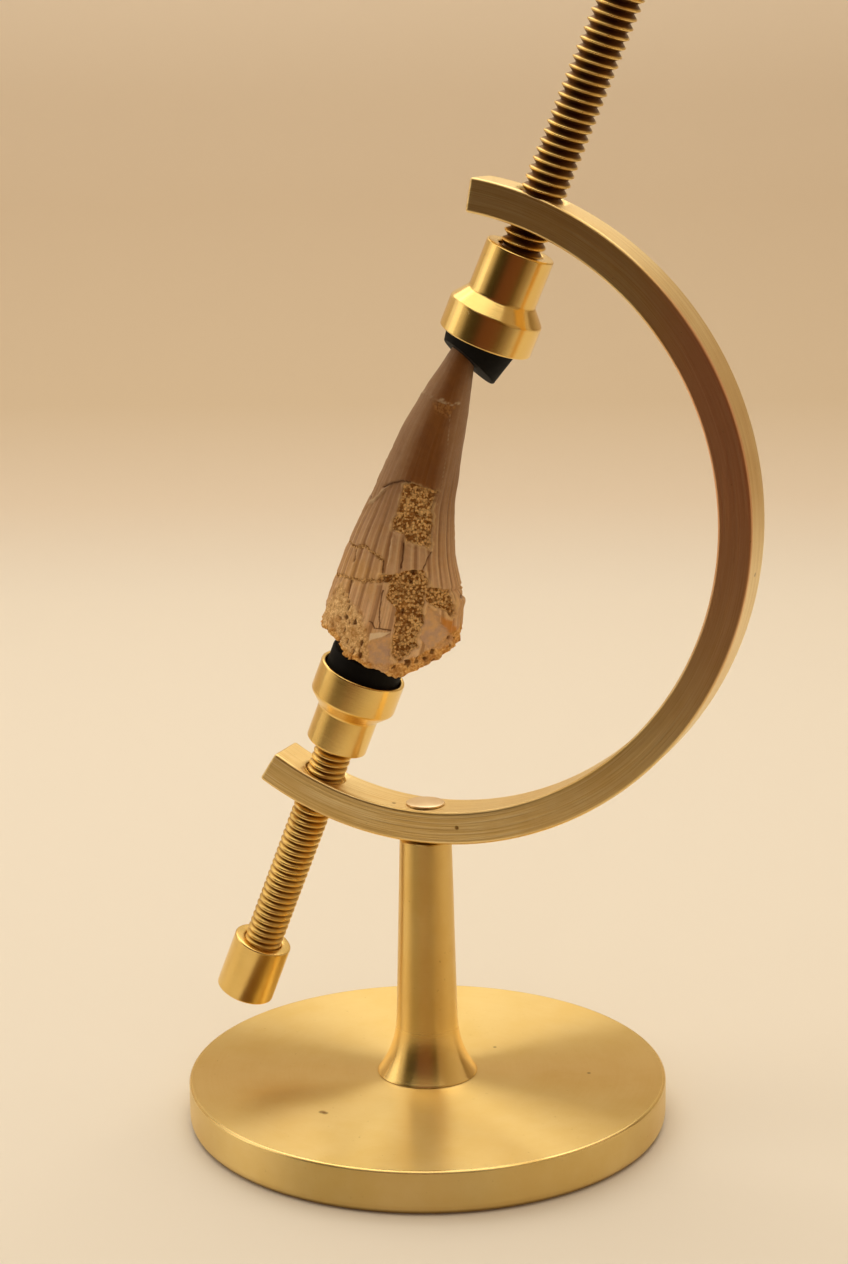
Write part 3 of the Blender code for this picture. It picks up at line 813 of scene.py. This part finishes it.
# %% Shapes of the damage
SAND_PIT = (
    (-4.5, 4.5), (-3.2, 5.2), (0.8, 5.4), (1.1, 2.4), (1.9, 0.5), (2.9, -3.3), (1.2, -3.4),
    (-0.7, -3.4), (-1.7, -2.6), (-3.6, -2.6), (-3.9, -1.8), (-3.9, 0.5), (-4.2, 3.0))
SAND_COLUMN = (
    (-2.9, -9.6), (-0.9, -8.8), (0.1, -7.9), (2.8, -6.6), (4.8, -8.2), (4.6, -10.6), (5.7, -13.4),
    (6.2, -15.0), (5.9, -17.3), (6.6, -18.4), (5.9, -19.4), (4.4, -21.8), (3.1, -21.0), (2.2, -17.6),
    (1.6, -14.8), (-1.0, -12.3), (-0.9, -10.4), (-2.9, -10.9))
SAND_RIGHT = (
    (4.2, -9.6), (5.1, -8.8), (8.1, -8.9), (8.8, -10.4), (10.1, -12.5), (9.7, -13.1), (8.5, -12.0),
    (7.2, -11.9), (5.0, -11.2))
OCHRE_ROCK = (
    (-8.3, -14.2), (-7.0, -14.5), (-5.8, -15.6), (-3.3, -16.5), (-2.3, -17.7), (-0.9, -20.0),
    (-0.3, -22.3), (0.7, -23.8), (-2.7, -25.0), (-9.6, -24.0), (-8.9, -18.4))
TIP_SCAR = ((-4.8, 17.8), (-3.6, 18.0), (-1.0, 18.5), (-1.4, 16.3), (-2.5, 16.3), (-3.9, 16.3))
SHARDS = (
    ((-3.2, -3.5), (-1.4, -3.6), (-0.9, -5.8), (-0.5, -7.7), (-2.1, -7.8), (-2.8, -5.9)),
    ((-0.9, -3.8), (0.1, -4.1), (2.9, -3.9), (2.7, -5.5), (2.5, -6.8), (0.1, -7.1)),
    ((-2.1, -8.1), (0.1, -7.8), (0.0, -8.4), (-2.2, -8.8)),
    ((-1.2, -12.5), (1.3, -13.5), (1.5, -14.9), (2.0, -16.5), (0.2, -17.1), (-0.6, -15.2)),
    ((-3.3, -2.7), (-1.3, -2.7), (-1.6, -3.6), (-2.7, -3.6)))
PALE_CHIPS = (
    ((5.6, -11.9), (7.2, -12.2), (8.4, -14.0), (9.6, -14.7), (11.1, -15.8), (11.3, -16.6), (10.3, -17.5),
     (8.6, -18.5), (7.3, -17.7), (6.3, -17.0), (6.0, -15.2)),
    ((-0.8, -19.9), (0.5, -18.9), (2.0, -17.7), (2.5, -19.3), (2.9, -20.9), (3.7, -23.2), (2.6, -25.0),
     (0.7, -23.6), (-0.3, -22.3)))
CREAM_BLADE = ((-0.9, -20.0), (-1.1, -18.8), (0.2, -18.0), (1.8, -17.4), (0.9, -18.5))
ORANGE_STAIN = ((7.8, -12.9), (9.7, -13.1), (10.7, -14.5), (11.0, -15.9), (10.0, -15.9), (9.0, -14.6))
SANDY_CRACKS = (
    ((-9.4, -8.3), (-7.6, -7.7), (-6.5, -6.8), (-5.3, -6.9), (-3.3, -7.2)),
    ((-9.6, -14.3), (-8.2, -13.0), (-7.0, -12.5), (-5.5, -12.0), (-2.9, -10.6)))
# cracks that are cut in and also painted dark as shade
SHADED_GAPS = (
    ((-7.5, -8.1), (-7.2, -9.9)), ((-6.8, -12.7), (-6.2, -15.5)), ((-3.1, -7.4), (-2.6, -9.3)),
    ((3.0, -3.9), (2.9, -6.6)), ((-1.15, -3.7), (-0.2, -7.4)), ((-1.6, -11.7), (-0.9, -15.2), (-0.1, -17.3)),
    ((-1.8, -17.0), (-0.7, -17.7), (1.7, -17.1)), ((-7.0, 2.6), (-6.1, 3.8), (-4.8, 4.9), (-3.5, 5.2)))
FLANK_CRACK = ((-8.2, 8.2), (-8.4, 6.0), (-8.5, 3.1), (-8.6, 0.3), (-8.4, -1.0))
SUNK_SHEET = (
    (-8.3, -1.1), (-7.4, 0.7), (-6.6, 2.5), (-6.0, 3.7), (-5.3, 4.6), (-4.4, 5.0), (-4.2, 3.0),
    (-3.9, 0.5), (-3.9, -1.8), (-3.1, -6.0), (-9.6, -6.0))
# painted highlights along broken edges that catch the light
LIT_EDGES = (
    ((-8.2, -0.9), (-7.4, 0.8), (-6.5, 3.0)), ((-7.0, 17.2), (-6.1, 18.1), (-4.3, 18.1), (-0.9, 18.7)),
    ((-3.0, -3.9), (-2.6, -5.9), (-2.2, -7.5)))
DOTTED_LINE = ((-1.5, 16.7), (-0.9, 14.6), (0.0, 11.1), (0.5, 8.5), (1.1, 5.7), (1.5, 3.1))
THIN_ENAMEL = (
    (-4.1, 27.5), (-4.4, 24.5), (-4.5, 20.2), (-5.0, 17.0), (-5.2, 13.7), (-5.2, 7.3), (-4.7, 3.2),
    (1.2, 3.2), (0.9, 5.7), (0.3, 10.0), (-0.7, 14.6), (-0.8, 17.7), (-1.1, 20.7), (-1.2, 27.5))
RIM_HOLES = (
    (5.7, -21.0), (8.0, -19.9), (8.9, -18.7), (2.5, -13.9), (1.9, -9.2), (1.9, -7.8), (-6.3, -19.0),
    (-5.4, -18.2), (9.9, -9.9), (10.6, -16.2))


def line_distance(x, s, points):
    """Distance from many spots to a line of points, in millimetres."""
    best = np.full(x.shape, 1e9)
    for (x0, s0), (x1, s1) in zip(points, points[1:]):
        share = ((x - x0) * (x1 - x0) + (s - s0) * (s1 - s0)) / ((x1 - x0) ** 2 + (s1 - s0) ** 2)
        share = np.clip(share, 0, 1)
        best = np.minimum(best, np.hypot(x - x0 - share * (x1 - x0), s - s0 - share * (s1 - s0)))
    return best


def nearest_line(x, s, lines):
    return np.min([line_distance(x, s, line) for line in lines], axis=0)


def depth_inside(x, s, points):
    """How far many spots lie inside a closed shape, negative outside it."""
    inside = np.zeros(x.shape, bool)
    ring = points + points[:1]
    for (x0, s0), (x1, s1) in zip(ring, ring[1:]):
        crosses = (s0 > s) != (s1 > s)
        where = x0 + (s - s0) * (x1 - x0) / ((s1 - s0) or 1e-9)
        inside ^= crosses & (x < where)
    return np.where(inside, 1, -1) * line_distance(x, s, ring)


def deepest(x, s, shapes):
    return np.max([depth_inside(x, s, shape) for shape in shapes], axis=0)


cracks = len(SANDY_CRACKS + SHADED_GAPS)
print("damage:", len(SHARDS), "shards,", len(PALE_CHIPS), "chips and", cracks, "cracks")

# %% [markdown]
# A straight upright line is spun into a plain tube, which carries two numbers for every vertex:
# its angle round the claw and its share of the way up. Moving each vertex to the outline at
# those numbers makes the crown. The angles and shares are crowded a little towards the front
# and the root first, where the detail is.

# %% Claw places
CLAW_SIDES = 330
CLAW_RINGS = 270
BASE_RINGS = 14
FLUTES = 46
FRONT_CROWDING = 0.35
ROOT_CROWDING = 1.22


def tube():
    """A spun tube with a closed bottom and tip, as vertices of unit size."""
    chain = [(ring / BASE_RINGS, 0) for ring in range(BASE_RINGS)]
    chain += [(1, ring / CLAW_RINGS) for ring in range(CLAW_RINGS + 1)]
    return spun(chain + [(0, 1)], CLAW_SIDES, 0.00001)


def broken_base(x, y):
    """Height of the broken underside: flat on the pad, stepped left and sloped right."""
    spots = np.stack((x, y, np.zeros_like(x)), 1)
    rough = 0.5 * np.abs(lumps(spots, 3.0)) + 0.45 * np.abs(lumps(spots, 1.2, 5.0))
    return CLAW_BASE + 1.7 * step(-x, 3.0, 6.0) + np.maximum(0, x - 5.5) + rough


def claw_places(angle, along):
    """The plain outline's points for many angles and shares of the way up."""
    low_left, low_right, low_depth = between_stations(np.full(angle.shape, CLAW_BASE))
    low_x = (low_left + low_right) / 2 + (low_right - low_left) / 2 * np.cos(angle)
    bottom = broken_base(low_x, low_depth * np.sin(angle))
    height = bottom + (CLAW_TIP - bottom) * along
    left, right, depth = between_stations(height)
    rounding = np.sqrt(np.maximum(0, 1 - step(height, CLAW_TIP - TIP_ROUND, CLAW_TIP) ** 2 * 0.75))
    x = (left + right) / 2 + (right - left) / 2 * rounding * np.cos(angle)
    return x, depth * rounding * np.sin(angle), height, height - bottom


# %% [markdown]
# Each kind of damage becomes a mask from 0 to 1 at every vertex. Shards and chips lie over the
# rock fill, so they are taken out of its mask. The unseen back gets the same kinds of damage
# from noise alone.


# %% Masks of the damage
def damage(x, y, s, above_rim, front, places):
    """A mask by name for each kind, from places across (x) and along (s), in millimetres."""
    nudge = 0.30 * lumps(places, 0.9, 3.0) + 0.14 * lumps(places, 0.4, 7.0)
    u = x + nudge
    v = s + 0.30 * lumps(places, 0.8, 11.0)
    shapes = {
        "shard": (deepest(u * 0.5 + x * 0.5, s, SHARDS), -0.04, 0.12),
        "blade": (depth_inside(x, s, CREAM_BLADE), -0.05, 0.1),
        "chip": (deepest(u, v * 0.5 + s * 0.5, PALE_CHIPS), -0.05, 0.15),
        "scar": (depth_inside(u, v, TIP_SCAR), -0.1, 0.2),
        "thin": (depth_inside(x + 0.5 * nudge, s, THIN_ENAMEL), -0.9, 1.5),
        "stain": (depth_inside(u, v, ORANGE_STAIN), -0.3, 0.4)}
    masks = {name: step(depth, low, high) * front for name, (depth, low, high) in shapes.items()}
    loose = np.max([masks["shard"], masks["chip"], masks["blade"]], axis=0)
    sand = deepest(u, v, (SAND_PIT, SAND_COLUMN, SAND_RIGHT))
    # on the unseen back, lumps alone say where enamel is lost, more of it towards the root
    behind = 4 * (lumps(places, 5.5, 21.0) + 0.05 * (-6 - s) - 0.32)
    sand = np.where(front > 0.5, sand, behind)
    masks["sand"] = step(sand, -0.08, 0.20) * (1 - loose)
    masks["edge"] = np.exp(-((sand + 0.12) / 0.16) ** 2) * (1 - loose)
    rock = step(depth_inside(u + nudge, v + nudge, OCHRE_ROCK), -0.7, 0.8) * front
    masks["rock"] = rock * (1 - loose)
    wide = 0.6 + 1.9 * step(x, 1.0, 6.0) + 0.7 * lumps(places, 1.5, 15.0)
    masks["rim"] = (1 - step(above_rim, wide, wide + 0.5)) * (1 - 0.5 * masks["chip"])
    sandy = nearest_line(x + 0.5 * nudge, s + 1.2 * nudge, SANDY_CRACKS)
    masks["seam"] = (1 - step(sandy, 0.10, 0.42 + 0.3 * nudge)) * front * (1 - masks["sand"])
    gap = nearest_line(x + 0.4 * nudge, s + 0.4 * nudge, SHADED_GAPS)
    flank = line_distance(x + 0.2 * nudge, s + 0.3 * y, FLANK_CRACK) + (y > 1.0)
    masks["gap"] = 1 - step(np.minimum(gap + (1 - front), flank), 0.04, 0.17)
    masks["hole"] = np.max([
        1 - step(np.hypot(u - a, v - b), 0.15, 0.5) for a, b in RIM_HOLES], axis=0) * front
    lit = nearest_line(x + 0.5 * nudge, s + 1.6 * nudge, LIT_EDGES)
    dotted = line_distance(x, s, DOTTED_LINE) + 0.12 * (np.sin(9 * s + 3 * nudge) > 0.2)
    masks["lit"] = (1 - step(np.minimum(lit, dotted + 0.09), 0.05, 0.22)) * front
    sunk = step(depth_inside(x, s, SUNK_SHEET), 0.0, 0.14) * step(s, -6.0, 1.0)
    masks["sunk"] = sunk * front * (1 - masks["sand"])
    return masks


# %% [markdown]
# The same masks say how far each vertex stands out. Lost enamel drops by almost a millimetre to
# packed grains, shards stand proud, and cracks are narrow grooves. The flutes fade towards the
# tip and stop where the enamel does.


# %% Relief of the claw
def relief(angle, x, s, masks, places):
    """How far each vertex stands out, in millimetres. It adds masks for flutes and pits."""
    fade = 1 - 0.93 * step(s - 0.6 * x, -4, 13)
    bare = 1 - np.max([masks[name] for name in ("sand", "rock", "chip", "scar", "rim", "blade")], axis=0)
    wobble = 0.5 * lumps(places * (1, 1, 0.25), 3.0, 2.0) + 2.0 * lumps(places * (1, 1, 0.1), 6.0, 4.0)
    flute = 0.5 + 0.5 * np.cos(FLUTES * angle + wobble)
    broad = 0.5 + 0.5 * np.cos(FLUTES / 2 * angle + 1.0)
    masks["flute"] = (0.7 * flute ** 2 + 0.3 * broad) * bare * fade
    masks["fluted"] = bare * fade
    packed = grains(places, 0.62)
    fine = grains(places, 0.40)
    pits = step(lumps(places * (1.9, 1.9, 0.8), 1.0, 9.0), 0.22, 0.5)
    masks["pits"] = pits * np.maximum(masks["rock"], masks["rim"])
    out = (0.16 * flute ** 2 + 0.12 * broad) * fade * bare
    out += 0.14 * lumps(places, 5.0) + 0.05 * lumps(places, 1.4, 2.0) * bare
    out += masks["sand"] * (-1.0 + 0.40 * packed + 0.25 * fine + 0.35 * lumps(places, 1.8, 6.0))
    out += masks["edge"] * 0.08
    out += masks["scar"] * (0.22 * fine - 0.15)
    out += masks["rock"] * (0.10 + 0.35 * lumps(places, 1.3, 8.0) + 0.08 * fine - 0.6 * pits)
    out += masks["rim"] * (0.4 * lumps(places, 1.1, 12.0) + 0.28 * packed - 0.3 * pits)
    out += masks["seam"] * (0.2 * fine - 0.22)
    out += masks["shard"] * (0.05 + 0.22 * step(s, -7.5, -3.8) * (s > -9))
    out += masks["chip"] * (0.15 * lumps(places, 2.5, 13.0) - 0.25)
    out += masks["blade"] * 0.15 + masks["lit"] * 0.10
    out -= 0.30 * masks["gap"] + 0.7 * masks["hole"] + 0.24 * masks["sunk"]
    # the right outline has a small bump and a notch above it
    corner = step(np.cos(angle), 0.6, 0.95)
    out += corner * (0.45 * np.exp(-((s + 10.6) / 1.0) ** 2) - 0.4 * np.exp(-((s + 9.0) / 0.35) ** 2))
    return out


# %% Claw mesh
def attribute(mesh, name, values, kind="FLOAT"):
    """Keep one value for each vertex, for the finish to read."""
    layer = mesh.attributes.new(name, kind, "POINT")
    slot = "vector" if kind == "FLOAT_VECTOR" else "value"
    layer.data.foreach_set(slot, np.ravel(values).astype(np.float32))


def fossil_claw(name, finish):
    claw = to_piece(tube(), name, finish, 180.0)
    mesh = claw.data
    unit = np.empty(len(mesh.vertices) * 3)
    mesh.vertices.foreach_get("co", unit)
    unit = unit.reshape(-1, 3)
    reach = np.hypot(unit[:, 0], unit[:, 1])
    angle = np.arctan2(unit[:, 1], unit[:, 0])
    angle = angle - FRONT_CROWDING * np.cos(angle)
    x, y, s, above_rim = claw_places(angle, unit[:, 2] ** ROOT_CROWDING)
    places = np.stack((x, y, s), 1)
    front = step(-np.sin(angle), -0.05, 0.05)
    masks = damage(x, y, s, above_rim, front, places)
    out = relief(angle, x, s, masks, places) * (1 - 0.6 * step(s, 24, CLAW_TIP))
    x += out * np.cos(angle)
    y += out * np.sin(angle)
    low_left, low_right, _ = between_stations(np.array([CLAW_BASE]))
    middle = (low_left[0] + low_right[0]) / 2
    under = (reach < 0.999) & (unit[:, 2] < 0.5)
    x[under] = middle + (x[under] - middle) * reach[under]
    y[under] = y[under] * reach[under]
    spots = np.stack((x[under], y[under], np.zeros(under.sum())), 1)
    inward = np.clip(4 - 4 * reach[under], 0, 1)
    s[under] = broken_base(x[under], y[under]) + 0.3 * grains(spots, 0.9) * inward
    masks["sand"][under] = inward
    tip = (reach < 0.999) & (unit[:, 2] > 0.5)
    tip_left, tip_right, _ = between_stations(np.array([CLAW_TIP]))
    x[tip] = (tip_left[0] + tip_right[0]) / 2
    y[tip] = 0
    s[tip] = CLAW_TIP + 0.2
    mesh.vertices.foreach_set("co", (np.stack((x, y, s), 1) * MM).ravel())
    mesh.transform(CLAW_AXIS)
    for mask, values in masks.items():
        attribute(mesh, mask, values)
    attribute(mesh, "skin", np.stack((np.cos(angle), np.sin(angle), s / 50), 1), "FLOAT_VECTOR")
    mesh.update()
    return claw


# %% [markdown]
# The enamel is satin and streaked along the claw, mauve-tan on the flank and orange-brown down
# the middle where it is thin. The rock fill is packed sand, so its colour comes from small
# cells, each grain lighter or darker than its neighbours. The finish mixes both by the masks
# that the mesh carries, so colour and relief always meet. The enamel is painted darker towards
# the tip and brighter towards the root, as painted shade and light. Shade is also painted in
# cracks, holes, pits, flute hollows and between grains, and highlights on lit edges and flute ridges.

# %% Fossil finish
FOSSIL_RELIEF = 0.10 * MM
GRAINS_PER_METRE = 2600


def fossil_finish():
    material, place = new_finish("fossil enamel and rock")

    def mask(name):
        return place.node("ShaderNodeAttribute", {}, output=2, attribute_name=name)

    def cells(output):
        return place.node(
            "ShaderNodeTexVoronoi", {"Vector": place, "Scale": GRAINS_PER_METRE}, output=output)

    def mixed(noise, low, high, first, second):
        """Two screen colours, mixed where noise lies between two values."""
        return blend(rise(noise, low, high), colour(*first), colour(*second))

    skin = place.node("ShaderNodeAttribute", {}, output=1, attribute_name="skin")
    # low is 1 towards the root and 0 towards the tip; with it the enamel is painted brighter towards the
    # root as painted light
    low = 1 - rise(parts_of(skin)[2], -0.38, 0.20)
    bands = cloud(stretched(skin, (9, 9, 1.2)), 1.0)
    streaks = cloud(stretched(skin, (26, 26, 3)), 1.0, 3.0, 0.6)
    hairs = cloud(stretched(skin, (75, 75, 6)), 1.0, 3.0, 0.65)
    mottle = cloud(place, 420, 4.0, 0.6)
    blotches = cloud(place, 150, 3.0, 0.6)
    grit = cloud(place, GRAINS_PER_METRE, 3.0, 0.7)
    grain = parts_of(cells(1))[0]
    between = cells(0)
    thin = mixed(blotches, 0.30, 0.70, (124, 62, 0), (150, 88, 12))
    lilac = mixed(mottle, 0.4, 0.62, (192, 156, 126), (218, 174, 118))
    ochre = mixed(grit, 0.32, 0.68, (190, 142, 80), (248, 212, 152))
    ochre = blend(rise(mottle, 0.48, 0.64) * 0.5, ochre, colour(176, 118, 46))
    golden = mixed(grit, 0.30, 0.70, (200, 132, 50), (248, 202, 124))
    golden = blend(rise(mottle, 0.46, 0.62) * 0.55, golden, colour(152, 92, 24))
    seam = mixed(grit, 0.40, 0.60, (132, 84, 30), (232, 188, 122))
    sand = mixed(grain, 0.15, 0.85, (150, 98, 40), (248, 202, 130))
    # painted shade between the sand grains
    sand = blend(rise(between, 0.42, 0.80) * 0.55, sand, colour(92, 54, 16))
    sand = blend(rise(mottle, 0.55, 0.7) * 0.4, sand, colour(216, 158, 84))
    # painted shade: cracks, holes and pits are painted dark
    dark = rise(mask("gap") + mask("hole") + mask("pits"), 0.2, 0.9)
    tone = mixed(bands, 0.25, 0.75, (202, 156, 110), (230, 190, 144))
    # each layer's share, and the colour that it lays over those before it
    layers = (
        (rise(streaks, 0.40, 0.70) * (0.15 + 0.35 * low), colour(160, 112, 66)),
        (rise(mottle, 0.45, 0.7) * 0.5, colour(208, 158, 96)),
        # painted light and shade: lighter blotches towards the root, and the next layer darker towards the
        # tip
        (rise(blotches, 0.42, 0.66) * low * 0.7, colour(216, 166, 94)),
        ((1 - low) * 0.65, colour(174, 126, 82)),
        (mask("thin") * (0.74 + 0.3 * bands), thin),
        (rise(hairs, 0.50, 0.74) * (0.12 + 0.25 * low), colour(232, 198, 150)),
        # painted shade in the flute hollows, and painted highlights on the flute ridges
        (mask("fluted") * (1 - rise(mask("flute"), 0.0, 0.3)) * 0.50, colour(122, 76, 34)),
        (rise(mask("flute"), 0.50, 0.95) * 0.45, colour(240, 206, 156)),
        (mask("stain"), colour(202, 134, 54)),
        (mask("chip") * 0.9, lilac),
        (mask("blade") * 0.9, colour(236, 210, 168)),
        (mask("rock") * 0.9, ochre),
        (mask("rim") * 0.9, golden),
        (mask("seam") * 0.9, seam),
        (rise(mask("sand"), 0.15, 0.6), sand),
        # a pale band round lost enamel: partly the broken enamel's own pale colour, partly painted highlight
        # on its edge
        (mask("edge") * rise(mottle, 0.35, 0.6) * 0.8, colour(238, 198, 136)),
        (mask("scar") * rise(grit, 0.40, 0.6) * 0.7, colour(206, 146, 78)),
        (dark * 0.75, colour(98, 58, 20)),
        # painted highlights on lit edges
        (mask("lit") * rise(mottle, 0.35, 0.60) * 0.8, colour(238, 208, 164)))
    for share, paint in layers:
        tone = blend(share, tone, paint)
    # painted light and shade: the enamel is scaled from 0.62 at the tip to 1.08 at the root; the sand stays
    # near 0.96
    shade = 0.62 + 0.46 * low + (0.34 - 0.46 * low) * mask("sand")
    tone = scaled(tone, shade * (0.80 + 0.40 * cloud(place, 1300, 4.0, 0.75)))
    stony = rise(mask("sand") + mask("rock") + mask("rim") + mask("seam"), 0.1, 0.8)
    height = hairs * 0.35 + streaks * 0.25 + grit * (0.08 + stony) + (1 - between) * 1.4 * mask("sand")
    dress(material, {
        "Base Color": tone,
        "Roughness": 0.42 + 0.12 * mottle + 0.40 * stony,
        "Specular IOR Level": 0.34,
        "Normal": bumped(height, FOSSIL_RELIEF),
    })
    return material


claw = fossil_claw("fossil_claw", fossil_finish())
stands_for(claw, "claw", "lower_jaw")

# %% [markdown]
# The stage is a pale floor that curves up into a peach wall, as a paper sweep does. A chain of
# points is spun through a quarter turn for the curve, and the whole line is pulled sideways.
# From behind the paper is clear, so a look from the back shows the stand as well. Its colour
# carries painted shade in the bend and painted light higher up the wall. The brass sees the
# paper painted dark as shade in front of the stand, and sees it end there, as in the real room.

# %% Stage
SWEEP_NEAR = -1.50
SWEEP_BEND = 0.40
SWEEP_RADIUS = 0.16
SWEEP_TOP = 1.3
SWEEP_WIDTH = 3.6
DIM_FROM = -0.055
DIM_TO = -0.19
MIRRORED_END = -0.20
PAPER_PAINTED_SHADE = (0.15, 0.10, 0.06, 1)
PAPER_SPAN = 0.40
# share of that span above the floor, and the paper's colour there, with painted shade in the bend and
# painted light higher up
PAPER_WITH_PAINTED_LIGHT = (
    (0.0, (0.82, 0.76, 0.66)), (0.05, (0.78, 0.67, 0.53)), (0.125, (0.72, 0.59, 0.42)),
    (0.30, (0.77, 0.635, 0.46)), (0.48, (0.91, 0.79, 0.62)), (0.80, (0.98, 0.94, 0.80)))


def paper_finish():
    material, place = new_finish("warm paper")
    x, y, z = parts_of(place)
    fibre = cloud(place, 500, 3.0, 0.6)
    height = z / PAPER_SPAN
    # the paper's colour by height, with painted shade in the bend and painted light higher up the wall
    tone = height.node("ShaderNodeValToRGB", {"Fac": height}, stops=PAPER_WITH_PAINTED_LIGHT)
    away = y * math.cos(CAMERA_AZIMUTH) - x * math.sin(CAMERA_AZIMUTH)
    mirrored = 1 - place.node("ShaderNodeLightPath", {}, output=0)
    # painted shade: the paper in front of the stand is painted dark where the brass sees it
    tone = blend(mirrored * rise(away, DIM_FROM, DIM_TO), tone, PAPER_PAINTED_SHADE)
    cut_off = mirrored * rise(away, MIRRORED_END, MIRRORED_END - MM)
    from_behind = place.node("ShaderNodeNewGeometry", {}, output=6)
    dress(material, {
        "Base Color": tone,
        "Roughness": 0.85 + 0.1 * fibre,
        "Specular IOR Level": 0.1,
        "Alpha": (1 - from_behind) * (1 - cut_off),
    })
    return material


def paper_sweep(name, finish):
    bm = bmesh.new()
    side = -SWEEP_WIDTH / 2
    near = bm.verts.new((side, SWEEP_NEAR, 0))
    bend = bm.verts.new((side, SWEEP_BEND, 0))
    bm.edges.new((near, bend))
    curved = bmesh.ops.spin(
        bm, geom=[bend], cent=(side, SWEEP_BEND, SWEEP_RADIUS), axis=(1, 0, 0), angle=math.pi / 2, steps=32)
    last = [item for item in curved["geom_last"] if isinstance(item, bmesh.types.BMVert)][0]
    top = bm.verts.new((side, SWEEP_BEND + SWEEP_RADIUS, SWEEP_TOP))
    bm.edges.new((last, top))
    pulled = bmesh.ops.extrude_edge_only(bm, edges=bm.edges[:])
    moved = [item for item in pulled["geom"] if isinstance(item, bmesh.types.BMVert)]
    bmesh.ops.translate(bm, vec=(SWEEP_WIDTH, 0, 0), verts=moved)
    bmesh.ops.transform(bm, matrix=Matrix.Rotation(CAMERA_AZIMUTH, 4, "Z"), verts=bm.verts)
    bm.normal_update()
    if sum(face.normal.z for face in bm.faces) < 0:
        bmesh.ops.reverse_faces(bm, faces=bm.faces)
    return to_piece(bm, name, finish)


paper_sweep("paper_sweep", paper_finish())

# %% [markdown]
# Brass shows the room more than itself. Soft boxes stand behind, overhead and on the left, and
# the room behind the camera is darker with a reddish patch, as the photograph's reflections
# show. The world's colour goes round by bearing in soft bands, and past the paper the camera
# itself sees a plain warm colour. A weak lamp in front fills the claw's shadows. It isn't
# reflected, because the photograph's brass shows no lamp there.

# %% Light
CEILING = (0.80, 0.70, 0.54, 1)
PAST_PAPER = (0.86, 0.62, 0.37, 1)
# bearing from the camera in degrees, positive to its right, and the room's colour there
ROOM = (
    (-180, (0.66, 0.52, 0.36)), (-112, (0.70, 0.57, 0.42)), (-80, (0.74, 0.60, 0.44)),
    (-64, (0.09, 0.065, 0.035)), (-48, (0.04, 0.028, 0.010)), (-36, (0.06, 0.03, 0.014)),
    (-24, (0.13, 0.045, 0.022)), (8, (0.15, 0.055, 0.022)), (24, (0.10, 0.055, 0.012)),
    (38, (0.34, 0.22, 0.12)), (60, (0.46, 0.33, 0.19)), (112, (0.70, 0.55, 0.40)),
    (180, (0.66, 0.52, 0.36)))
world = bpy.data.worlds.new("warm room")
bpy.context.scene.world = world
world.use_nodes = True
direction = Wire(world.node_tree.nodes.new("ShaderNodeTexCoord").outputs["Generated"])
across, ahead, up = parts_of(direction.node(
    "ShaderNodeMapping", {"Vector": direction, "Rotation": (0, 0, CAMERA_AZIMUTH)}, vector_type="TEXTURE"))
bearing = direction.math("ARCTAN2", across, 0 - ahead) / (2 * math.pi) + 0.5
room = bearing.node(
    "ShaderNodeValToRGB", {"Fac": bearing}, stops=[(degrees / 360 + 0.5, tint) for degrees, tint in ROOM])
room = blend(rise(up, 0.80, 0.96), room, CEILING)
room = blend(direction.node("ShaderNodeLightPath", {}, output=0), room, PAST_PAPER)
background = world.node_tree.nodes["Background"]
world.node_tree.links.new(room.socket, background.inputs["Color"])


def soft_box(name, place, aim, width, depth, power, tint):
    lamp = bpy.data.lights.new(name, "AREA")
    lamp.shape = "RECTANGLE"
    lamp.size = width
    lamp.size_y = depth
    lamp.energy = power
    lamp.color = tint
    box = bpy.data.objects.new(name, lamp)
    aimed = (Vector(place) - Vector(aim)).to_track_quat("Z", "Y").to_matrix().to_4x4()
    box.matrix_world = turn @ Matrix.Translation(place) @ aimed
    bpy.context.scene.collection.objects.link(box)
    return box


soft_box("back_box", (0, 0.42, 0.62), (0, 0, 0.05), 0.9, 0.45, power=2.0, tint=(1.0, 0.95, 0.86))
soft_box("overhead_box", (0, -0.05, 0.80), (0, -0.05, 0), 0.9, 0.9, power=2.4, tint=(1.0, 0.95, 0.84))
soft_box("left_box", (-0.85, 0.22, 0.50), (0, 0, 0.09), 0.6, 0.8, power=1.1, tint=(1.0, 0.95, 0.88))
fill = soft_box(
    "front_fill", (0.05, -0.80, 0.20), (0, 0, 0.09), 0.6, 0.6, power=1.5, tint=(1.0, 0.93, 0.82))
fill.visible_glossy = False
print("lamps:", [lamp.name for lamp in bpy.data.lights])

# %% [markdown]
# The view transform is plain, so that colours come out as they were set.

# %% Finish
bpy.context.scene.view_settings.view_transform = "Standard"
